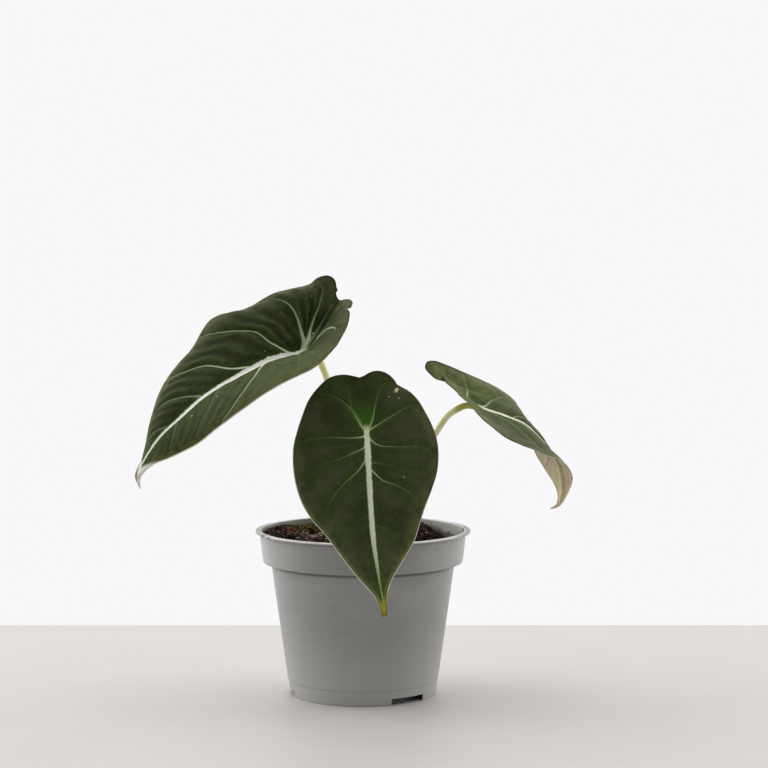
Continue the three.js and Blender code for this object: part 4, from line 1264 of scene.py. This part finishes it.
# %% From a flat grid to a blade
def blade_drawing(upper, lower, sites):
    """A blade with these upper and lower points, which carries its sites as attributes."""
    drawing = bmesh.new()
    bmesh.ops.create_grid(drawing, x_segments=2 * HALF_COLUMNS, y_segments=BLADE_ROWS, size=1)
    row = drawing.verts.layers.int.new("row")
    column = drawing.verts.layers.int.new("column")
    layers = {name: drawing.verts.layers.float_vector.new(name) for name in sites}
    side = drawing.verts.layers.float_vector.new("side")
    for vertex in drawing.verts:
        vertex[row] = round((1 - vertex.co.y) / 2 * BLADE_ROWS)
        vertex[column] = round((1 + vertex.co.x) * HALF_COLUMNS)
    bmesh.ops.solidify(drawing, geom=drawing.faces[:], thickness=0.5)
    for vertex in drawing.verts:
        place = vertex[row], vertex[column]
        on_top = vertex.co.z > -0.1
        vertex.co = (upper if on_top else lower)[place]
        vertex[side] = (float(on_top), along[place[0]], across[place[1]])
        for name, layer in layers.items():
            vertex[layer] = sites[name][place]
    flat = drawing.loops.layers.uv.new("blade")
    for face in drawing.faces:
        for loop in face.loops:
            loop[flat].uv = (0.5 + across[loop.vert[column]] / 2, along[loop.vert[row]])
    return drawing


# %% [markdown]
# ### Velvet
# The upper skin is black green. Its cells are tiny domes, which swallow light head on and shine softly at
# the edges: that is what sheen does in the shader. Over it lie the midrib in silver white with a frayed
# edge, the thin side veins, which fade outwards, a brighter green where the veins meet, and a pale line
# round the margin. Light is painted into the colour too: a greyish painted sheen over each half and along
# its margins, painted shade in the troughs of the waves with painted light on their crests, and on the
# left leaf painted glints. The lower skin is pale and matt, with the ribs a little lighter and a net of fine
# veins.
#
# Both skins read the same places, so these are gathered once. Each skin is then a list of layers, from the
# ground colour up.

# %% What the finish of a blade reads
UNSCALED = 1000


def blade_values(finish, junction, looks):
    """Where a place lies on its blade, and the noises that both skins share."""
    at = SimpleNamespace()
    at.phase, spacing, at.strength = finish.attribute("veins").parts()
    at.from_rib, at.from_margin, at.from_junction = finish.attribute("places").parts()
    at.rib_width, at.rim, at.pale = finish.attribute("edges").parts()
    at.bloom, at.tan, at.folds = finish.attribute("tones").parts()
    at.shares = finish.attribute("side")
    at.on_top, at.along, _ = at.shares.parts()
    at.drift = finish.noise(15, detail=1)
    at.band = finish.noise(4.5, detail=2)
    at.fray = finish.noise(0.8, detail=3)
    at.fine = finish.noise(0.35, detail=2)
    at.past = at.along.rise(junction - 0.022, junction - 0.004)
    wander = at.phase + (at.band - 0.5) * 0.02
    at.off_vein = abs(wander - wander.math("ROUND")) * spacing + (at.fray - 0.5) * 0.2
    at.tip = (at.along - at.from_margin * 0.012).rise(looks["tip_from"] - 0.03, looks["tip_from"] + 0.01)
    return at


def drawn_out(finish, at, across, along, detail):
    """Noise in streaks along a blade. The two numbers say how often it changes over the whole blade."""
    return finish.noise(UNSCALED, detail=detail, place=finish.stretched(0, along, across, at.shares))


# %% Lines of the veins and the midrib
def vein_lines(finish, at, looks):
    """Adds the pale lines, the glow beside them and how near the place is to where they meet."""
    nearest = at.from_junction.math("MINIMUM", abs(at.from_rib))
    root = at.from_junction - (at.from_junction - nearest) * at.past
    at.near = (root * (-1 / looks["vein_reach"])).math("EXPONENT")
    joint = (root * (-1 / 2.6)).math("EXPONENT")
    lobe_root = (at.from_junction * (-1 / 9)).math("EXPONENT") * (1 - at.past)
    half_line = (at.near * 0.18 + joint * 0.3 + lobe_root * looks["flare"] + 0.2) * looks["vein_width"]
    at.line = (half_line - at.off_vein).rise(-0.2, 0.14) * at.strength * (at.near * 0.5 + 0.5)
    at.glow = at.off_vein.rise(4.5, 0) * at.strength * (at.near * 0.7 + 0.3)
    barbs = drawn_out(finish, at, 1.5, 70, detail=3).rise(0.45, 0.75)
    at.threads = drawn_out(finish, at, 260, 6, detail=2)
    rib_edge = at.rib_width * (barbs * 0.25 + 0.9) - abs(at.from_rib) + (at.fray - 0.5) * 1.1
    rib_spread = at.along.rise(0.4, 0.6) * at.along.rise(0.9, 0.7) * looks["rib_spread"]
    started = at.along.rise(looks["rib_from"] - 0.03, looks["rib_from"])
    at.rib_line = (rib_edge + rib_spread).rise(-0.55, 0.4) * started
    at.rib_glow = (abs(at.from_rib) - at.rib_width).rise(3.5, 0) * at.past


# %% Upper skin
LEAF_DARK = srgb(33, 41, 15)
LEAF_MID = srgb(45, 56, 20)
LEAF_WARM = srgb(57, 61, 43)
LEAF_FOLD_PAINTED_SHADE = srgb(20, 26, 9)
LEAF_CREST_LIGHT_AND_MOTTLE = srgb(78, 88, 52)
LEAF_FRESH = srgb(60, 100, 14)
LEAF_TAN = srgb(104, 92, 44)
LEAF_DOTS = srgb(160, 168, 150)
VEIN_GREEN = srgb(72, 96, 38)
HUB_GREEN = srgb(168, 196, 128)
PAINTED_SHEEN = srgb(126, 140, 82)
MARGIN_PAINTED_SHEEN = srgb(134, 136, 108)
MARGIN_DARK = srgb(44, 48, 38)
MARGIN_GREEN = srgb(120, 134, 82)
MARGIN_PALE = srgb(216, 213, 190)
MARGIN_RED = srgb(122, 84, 46)


def upper_skin(finish, at, looks, spots_and_glints):
    """Black green ground, and over it painted sheen, painted shade and light on the waves, veins, midrib,
    tip, margin, spots and painted glints.
    """
    dark, middle, warm = [tuple(part * looks["depth"] for part in color[:3]) + (1.0,)
                          for color in (LEAF_DARK, LEAF_MID, LEAF_WARM)]
    # Painted shade in the troughs of the waves between the veins and painted light on their crests.
    wave = ((at.phase + (at.drift - 0.5) * 0.35) * (math.pi * SWELLS_PER_GAP)).math("SINE")
    fold = wave * wave
    painted_fold_mask = at.from_margin.rise(1, 5) * abs(at.from_rib).rise(3, 9) * at.folds
    grain = finish.noise(1.3, detail=4)
    patches = at.band.rise(0.3, 0.7)
    wedge = at.phase.rise(0.6, -0.2) * at.from_junction.rise(22, 3)
    hub = (at.from_junction + (at.fray - 0.5) * 1.5).rise(2.6, 1.2)
    rib_color = (at.along - looks["rib_from"]).rise(-0.02, 0.015).blend(HUB_GREEN, looks["rib"])
    rib_color = at.along.rise(0.68, 0.92).blend(rib_color, looks["rib_end"])
    edge = at.from_margin.rise(0.75, 0.4)
    dots = finish.cells(2.4).rise(0.09, 0.05) * finish.noise(8).rise(0.6, 0.66)
    return layered((at.drift * 0.6 + at.band * 0.4).rise(0.36, 0.64).blend(dark, middle), [
        (at.off_vein.rise(2, 7) * at.drift.rise(0.25, 0.6) * looks["warm"], warm),
        # Painted shade in the troughs, then painted light on the crests.
        (fold.rise(0.5, 0) * at.band.rise(0.25, 0.6) * painted_fold_mask, LEAF_FOLD_PAINTED_SHADE),
        (fold.rise(0.45, 1) * at.band.rise(0.7, 0.4) * painted_fold_mask * 0.75, LEAF_CREST_LIGHT_AND_MOTTLE),
        # Velvet mottling, the leaf's own tone, in the crest colour.
        (grain.rise(0.45, 0.75) * 0.22, LEAF_CREST_LIGHT_AND_MOTTLE),
        (at.from_margin.rise(10, 1) * at.band.rise(0.35, 0.65) * 0.14, LEAF_FRESH),
        # Painted sheen: a greyish shine laid over the half, standing in for the velvet's shine at grazing
        # angles.
        (patches * 0.5 * at.bloom + at.bloom * 0.75, PAINTED_SHEEN),
        # Painted sheen: a greyish strip along the margin.
        (at.from_margin.rise(15, 1) * (patches * 0.7 + 0.5) * at.pale, MARGIN_PAINTED_SHEEN),
        (wedge * looks["wedge"], LEAF_FRESH),
        ((at.glow * 0.3 + at.rib_glow * 0.3) * looks["wedge"], LEAF_FRESH),
        (at.from_margin.rise(7, 1) * at.band.rise(0.3, 0.6) * at.tan * 0.5, LEAF_TAN),
        (at.line, at.near.blend(VEIN_GREEN, looks["vein"])),
        (hub * looks["hub"], HUB_GREEN),
        (at.rib_line * (at.threads * 0.2 + 0.9), rib_color),
        (at.tip * 0.85, looks["tip_color"]),
        (at.along.rise(0.972, 0.998) * 0.85, looks["tip_end"]),
        (at.from_margin.rise(2.4, 1.7) * at.rim.rise(0.3, 0.9) * looks["band"], MARGIN_GREEN),
        (at.from_margin.rise(1.4, 0.8) * 0.5, MARGIN_DARK),
        (edge * at.rim.rise(0, 1), MARGIN_PALE),
        (edge * at.rim.rise(0, -1) * 0.8, MARGIN_RED),
        (dots * 0.5, LEAF_DOTS),
        # Spots, and on the left leaf painted glints.
        *[(finish.spot(centre, radius) * 0.9, color) for centre, radius, color in spots_and_glints],
    ])


# %% Lower skin
UNDER_PALE = srgb(198, 191, 168)
UNDER_OLIVE = srgb(154, 149, 112)
UNDER_ROSE = srgb(178, 163, 146)
UNDER_RIBS = srgb(204, 202, 150)
UNDER_TIP = srgb(222, 208, 174)
UNDER_DARK = srgb(78, 84, 60)


def lower_skin(finish, at, looks):
    """Pale streaks along the blade, and over them its ribs, margin and tip."""
    clouds = drawn_out(finish, at, 22, 3, detail=3)
    streaks = drawn_out(finish, at, 90, 4, detail=2)
    net = finish.cells(2.2, feature="DISTANCE_TO_EDGE").rise(0.10, 0.02)
    midrib = (abs(at.from_rib) - at.rib_width * 0.6).rise(0.6, -0.4) * at.past
    ribs = (at.off_vein.rise(1.1, 0.3) * at.strength + midrib).math("MINIMUM", 1.0)
    return layered(clouds.rise(0.36, 0.56).blend(UNDER_OLIVE, UNDER_ROSE), [
        (clouds.rise(0.54, 0.68), UNDER_PALE),
        (streaks.rise(0.5, 0.7) * 0.2, UNDER_OLIVE),
        (net * 0.1, UNDER_PALE),
        (ribs * 0.6, UNDER_RIBS),
        (at.from_margin.rise(1.3, 0.4) * looks["under_rim"], UNDER_DARK),
        (at.along.rise(0.1, 0.03) * looks["under_lobes"], UNDER_DARK),
        (at.along.rise(0.66, 0.92) * 0.7, UNDER_TIP),
        (at.tip * 0.8, looks["tip_color"]),
    ])


# %% Leaf skin
SHEEN_TINT = (0.88, 1.0, 0.4, 1)


def leaf_finish(name, junction, looks, spots_and_glints):
    """Both skins in one finish, each on its own side."""
    finish = Finish(name, roughness=0.7)
    at = blade_values(finish, junction, looks)
    vein_lines(finish, at, looks)
    top, under = upper_skin(finish, at, looks, spots_and_glints), lower_skin(finish, at, looks)
    height = (at.fine + at.fray) * (at.on_top * 0.22 + 0.03) + at.band * 0.3 - at.line * 0.8
    finish.paint(
        at.on_top.rise(0.45, 0.55).blend(under, top),
        roughness=at.rib_line * -0.1 + at.fine * 0.1 + 0.66,
        height=height + at.rib_line * (at.threads - 0.5) * 0.8,
        distance=0.22,
        strength=0.6,
    )
    finish.set("Sheen Weight", looks["sheen"])
    finish.set("Sheen Roughness", 0.35)
    finish.set("Sheen Tint", SHEEN_TINT)
    finish.set("Specular IOR Level", looks["gloss"])
    print(f"{name}: {len(finish.material.node_tree.nodes)} nodes")
    return finish


# %% Looks of the three leaves
# The numbers are strengths of the layers, apart from these. depth multiplies the dark greens and
# vein_width the breadth of the side veins. vein_reach is the millimetres from the junction over which they
# fade. rib_spread is the millimetres by which the midrib is broader on either side past its middle.
# rib_from and tip_from are places along the blade.
# depth, warm and the rib colour differ from leaf to leaf partly because each is lit differently: the left
# leaf, which faces up into the light, is painted darker and its rib whiter, painted shade and painted light.
LEAF_LOOKS = {
    "left": {
        "depth": 0.78, "warm": 0.4, "wedge": 0.8, "hub": 0.6, "band": 0.0, "sheen": 0.07, "gloss": 0.06,
        "vein_reach": 34, "vein_width": 1.45, "flare": 0.9, "under_rim": 0.2, "under_lobes": 0.95,
        "rib_from": 0.226, "rib_spread": 0, "tip_from": 0.895,
        "vein": srgb(222, 230, 202), "rib": srgb(254, 254, 246), "rib_end": srgb(232, 236, 218),
        "tip_color": srgb(240, 236, 224), "tip_end": srgb(132, 128, 118),
    },
    "front": {
        "depth": 1.2, "warm": 0.8, "wedge": 0.85, "hub": 0.4, "band": 0.55, "sheen": 0.2, "gloss": 0.12,
        "vein_reach": 11, "vein_width": 1.05, "flare": 0.35, "under_rim": 0.5, "under_lobes": 0.0,
        "rib_from": 0.234, "rib_spread": 0.55, "tip_from": 0.925,
        "vein": srgb(200, 214, 164), "rib": srgb(234, 240, 212), "rib_end": srgb(158, 184, 112),
        "tip_color": srgb(172, 160, 56), "tip_end": srgb(178, 118, 40),
    },
    "right": {
        "depth": 1.0, "warm": 0.6, "wedge": 0.05, "hub": 0.05, "band": 0.2, "sheen": 0.13, "gloss": 0.08,
        "vein_reach": 16, "vein_width": 1.2, "flare": 0.1, "under_rim": 0.6, "under_lobes": 0.8,
        "rib_from": 0.235, "rib_spread": 0, "tip_from": 0.94,
        "vein": srgb(206, 216, 180), "rib": srgb(246, 249, 226), "rib_end": srgb(206, 212, 176),
        "tip_color": srgb(206, 192, 160), "tip_end": srgb(120, 118, 100),
    },
}

# %% The three blades
blades = {}
for order, (name, leaf) in enumerate(LEAVES.items()):
    points = span_blade(leaf)
    upper, lower, sites = relief(points, leaf, seed=3 + 7 * order)
    blades[name] = upper
    spots_and_glints = [(upper[round(down * BLADE_ROWS), np.abs(across - aside).argmin()], radius, srgb(*color))
             for down, aside, radius, color in leaf["spots_and_glints"]]
    finish = leaf_finish(f"leaf_skin_{name}", leaf["junction"], LEAF_LOOKS[name], spots_and_glints)
    piece = add_piece(blade_drawing(upper, lower, sites), f"blade_{name}", finish)
    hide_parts(f"leaf_{name}")
    widths = np.linalg.norm(np.diff(points, axis=1), axis=2).sum(1)
    print(f"{name} blade: {widths.max():.0f} mm wide")

# %% [markdown]
# ## Stalks
# A leaf stalk is a round, slightly tapering tube that leaves the crown nearly upright. Under its blade it
# turns and runs on as the midrib, so its line is carried on under the rib for a while and thins into it. A
# curve with a round bevel and a radius at every point makes it, and the curve is then made a mesh.

# %% Stalk lines
STALK_LINE_STEPS = 110
KEEL_SHARES = (0.03, 0.08, 0.15)
KEEL_RADII = (0.9, 0.75, 0.5)
STALK_CLEARANCE = 0.25


def length_of(line):
    return np.linalg.norm(np.diff(line, axis=0), axis=1).sum()


def stalk_line(leaf, upper):
    """Centre points and radii of a stalk from its socket to where it has thinned into the midrib."""
    normals = normals_of(upper)
    bottom, top = leaf["stalk"]["radii"]
    under = []
    for share, width in zip(KEEL_SHARES, KEEL_RADII):
        row = int(round((leaf["junction"] + share) * BLADE_ROWS))
        under.append(upper[row, HALF_COLUMNS] - normals[row, HALF_COLUMNS] * (0.5 + top * width))
    path = smooth_line([*leaf["stalk"]["path"], *under])
    shares = np.linspace(0, 1, STALK_LINE_STEPS)
    centres = spaced(path, shares)
    free_share = length_of(smooth_line(leaf["stalk"]["path"])) / length_of(path)
    radii = top + (bottom - top) * (1 - np.clip(shares / free_share, 0, 1)) ** 2
    radii = radii * np.interp(shares, [free_share, 1], [1, KEEL_RADII[-1]])
    flat, up = upper.reshape(-1, 3), normals.reshape(-1, 3)
    for index, (centre, radius) in enumerate(zip(centres, radii)):
        gaps = np.linalg.norm(flat - centre, axis=1)
        nearest = gaps.argmin()
        above = (centre - flat[nearest]) @ up[nearest]
        allowed = -(radius + STALK_CLEARANCE)
        if gaps[nearest] < 3 * radius and above > allowed:
            centres[index] = centre - up[nearest] * (above - allowed)
    centres[1:-1] = (centres[:-2] + 2 * centres[1:-1] + centres[2:]) / 4
    return centres, radii


# %% Tube from a line
def tube_drawing(centres, radii, roundness=5):
    """A bmesh of a round tube from its centre points and radii."""
    curve = bpy.data.curves.new("tube", "CURVE")
    curve.dimensions = "3D"
    curve.bevel_depth = 1.0
    curve.bevel_resolution = roundness
    curve.use_fill_caps = True
    spline = curve.splines.new("POLY")
    spline.points.add(len(centres) - 1)
    for point, centre, radius in zip(spline.points, centres, radii):
        point.co = (*centre, 1)
        point.radius = radius
    holder = into_scene(bpy.data.objects.new("tube", curve))
    graph = bpy.context.evaluated_depsgraph_get()
    drawing = bmesh.new()
    drawing.from_mesh(holder.evaluated_get(graph).to_mesh())
    bpy.data.objects.remove(holder)
    bmesh.ops.remove_doubles(drawing, verts=drawing.verts, dist=1e-4)
    bmesh.ops.recalc_face_normals(drawing, faces=drawing.faces)
    return drawing


# %% Stalk skin
STALK_CREAM = srgb(242, 244, 182)
STALK_PALE = srgb(249, 251, 206)
STALK_FLECK = srgb(168, 146, 92)
STALK_JOINT = srgb(184, 182, 70)
STALK_LOW = srgb(138, 120, 78)
STALK_SOILED = srgb(70, 50, 34)
RIGHT_JOINT = (58, 1.2, 160.8), 9

stalk_skin = Finish("stalk_skin", roughness=0.42)
stalk_height = stalk_skin.millimetres()[2]
clouding = stalk_skin.noise(7, detail=2)
flecks = stalk_skin.noise(0.7, detail=2).rise(0.62, 0.72)
soiled = stalk_height.rise(98, 88) * stalk_skin.noise(2.5, detail=4).rise(0.35, 0.6)
stalk_color = layered(clouding.rise(0.35, 0.65).blend(STALK_CREAM, STALK_PALE), [
    (flecks * 0.05, STALK_FLECK),
    (stalk_skin.spot(*RIGHT_JOINT) * 0.85, STALK_JOINT),
    (stalk_height.rise(118, 92) * 0.55, STALK_LOW),
    (soiled * 0.8, STALK_SOILED),
])
stalk_skin.paint(stalk_color, roughness=clouding * 0.1 + 0.36, height=clouding + flecks * 0.1, distance=0.15,
                 strength=0.3)

# %% The three stalks
for name, leaf in LEAVES.items():
    centres, radii = stalk_line(leaf, blades[name])
    piece = add_piece(tube_drawing(centres, radii), f"stalk_{name}", stalk_skin)
    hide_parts(f"petiole_{name}")
    print(f"{name} stalk: {length_of(centres):.0f} mm long")

# %% [markdown]
# ## Crown
# At soil level the stalks grow out of a short stout stem, ringed with the scars of old leaves. It is turned
# from a stepped profile and pushed about with noise.

# %% Crown
CROWN_BOTTOM_Z = 66
CROWN_TOP_Z = 95
CROWN_SMOOTH_HEIGHT = 14
CROWN_STEPS = 64
CROWN_RINGS = 5
CROWN_RING_TAPER = 0.35
CROWN_RING_DEPTH = 0.7
CROWN_UNEVENNESS = 0.07

crown_profile = [
    (0, CROWN_BOTTOM_Z), (CROWN_RADIUS - 3, CROWN_BOTTOM_Z), (CROWN_RADIUS - 0.5, CROWN_BOTTOM_Z + 4),
]
ring_start = CROWN_BOTTOM_Z + CROWN_SMOOTH_HEIGHT
ring_pitch = (CROWN_TOP_Z - ring_start) / CROWN_RINGS
for ring in range(CROWN_RINGS):
    ring_z = ring_start + ring * ring_pitch
    ring_radius = CROWN_RADIUS - CROWN_RING_TAPER * ring
    crown_profile += [(ring_radius, ring_z), (ring_radius - CROWN_RING_DEPTH, ring_z + CROWN_RING_DEPTH)]
crown_profile += [(CROWN_RADIUS - 2.6, CROWN_TOP_Z), (0, CROWN_TOP_Z + 0.6)]
crown_drawing = turned(crown_profile, CROWN_STEPS, rounding=0.3, longest=0.8)
for vertex in crown_drawing.verts:
    vertex.co.xy *= 1 + CROWN_UNEVENNESS * noise.fractal(vertex.co * 0.22, 0.8, 2.0, 4)
crown_skin = Finish("crown_skin", roughness=0.8)
bark_tone = crown_skin.noise(2.2, detail=5, place=crown_skin.stretched(1, 1, 0.4))
crown_color = bark_tone.rise(0.35, 0.68).blend(srgb(74, 54, 38), srgb(146, 122, 86))
crown_skin.paint(crown_color, height=bark_tone, distance=0.6)
crown = add_piece(crown_drawing, "crown_stem", crown_skin)
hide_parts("crown")
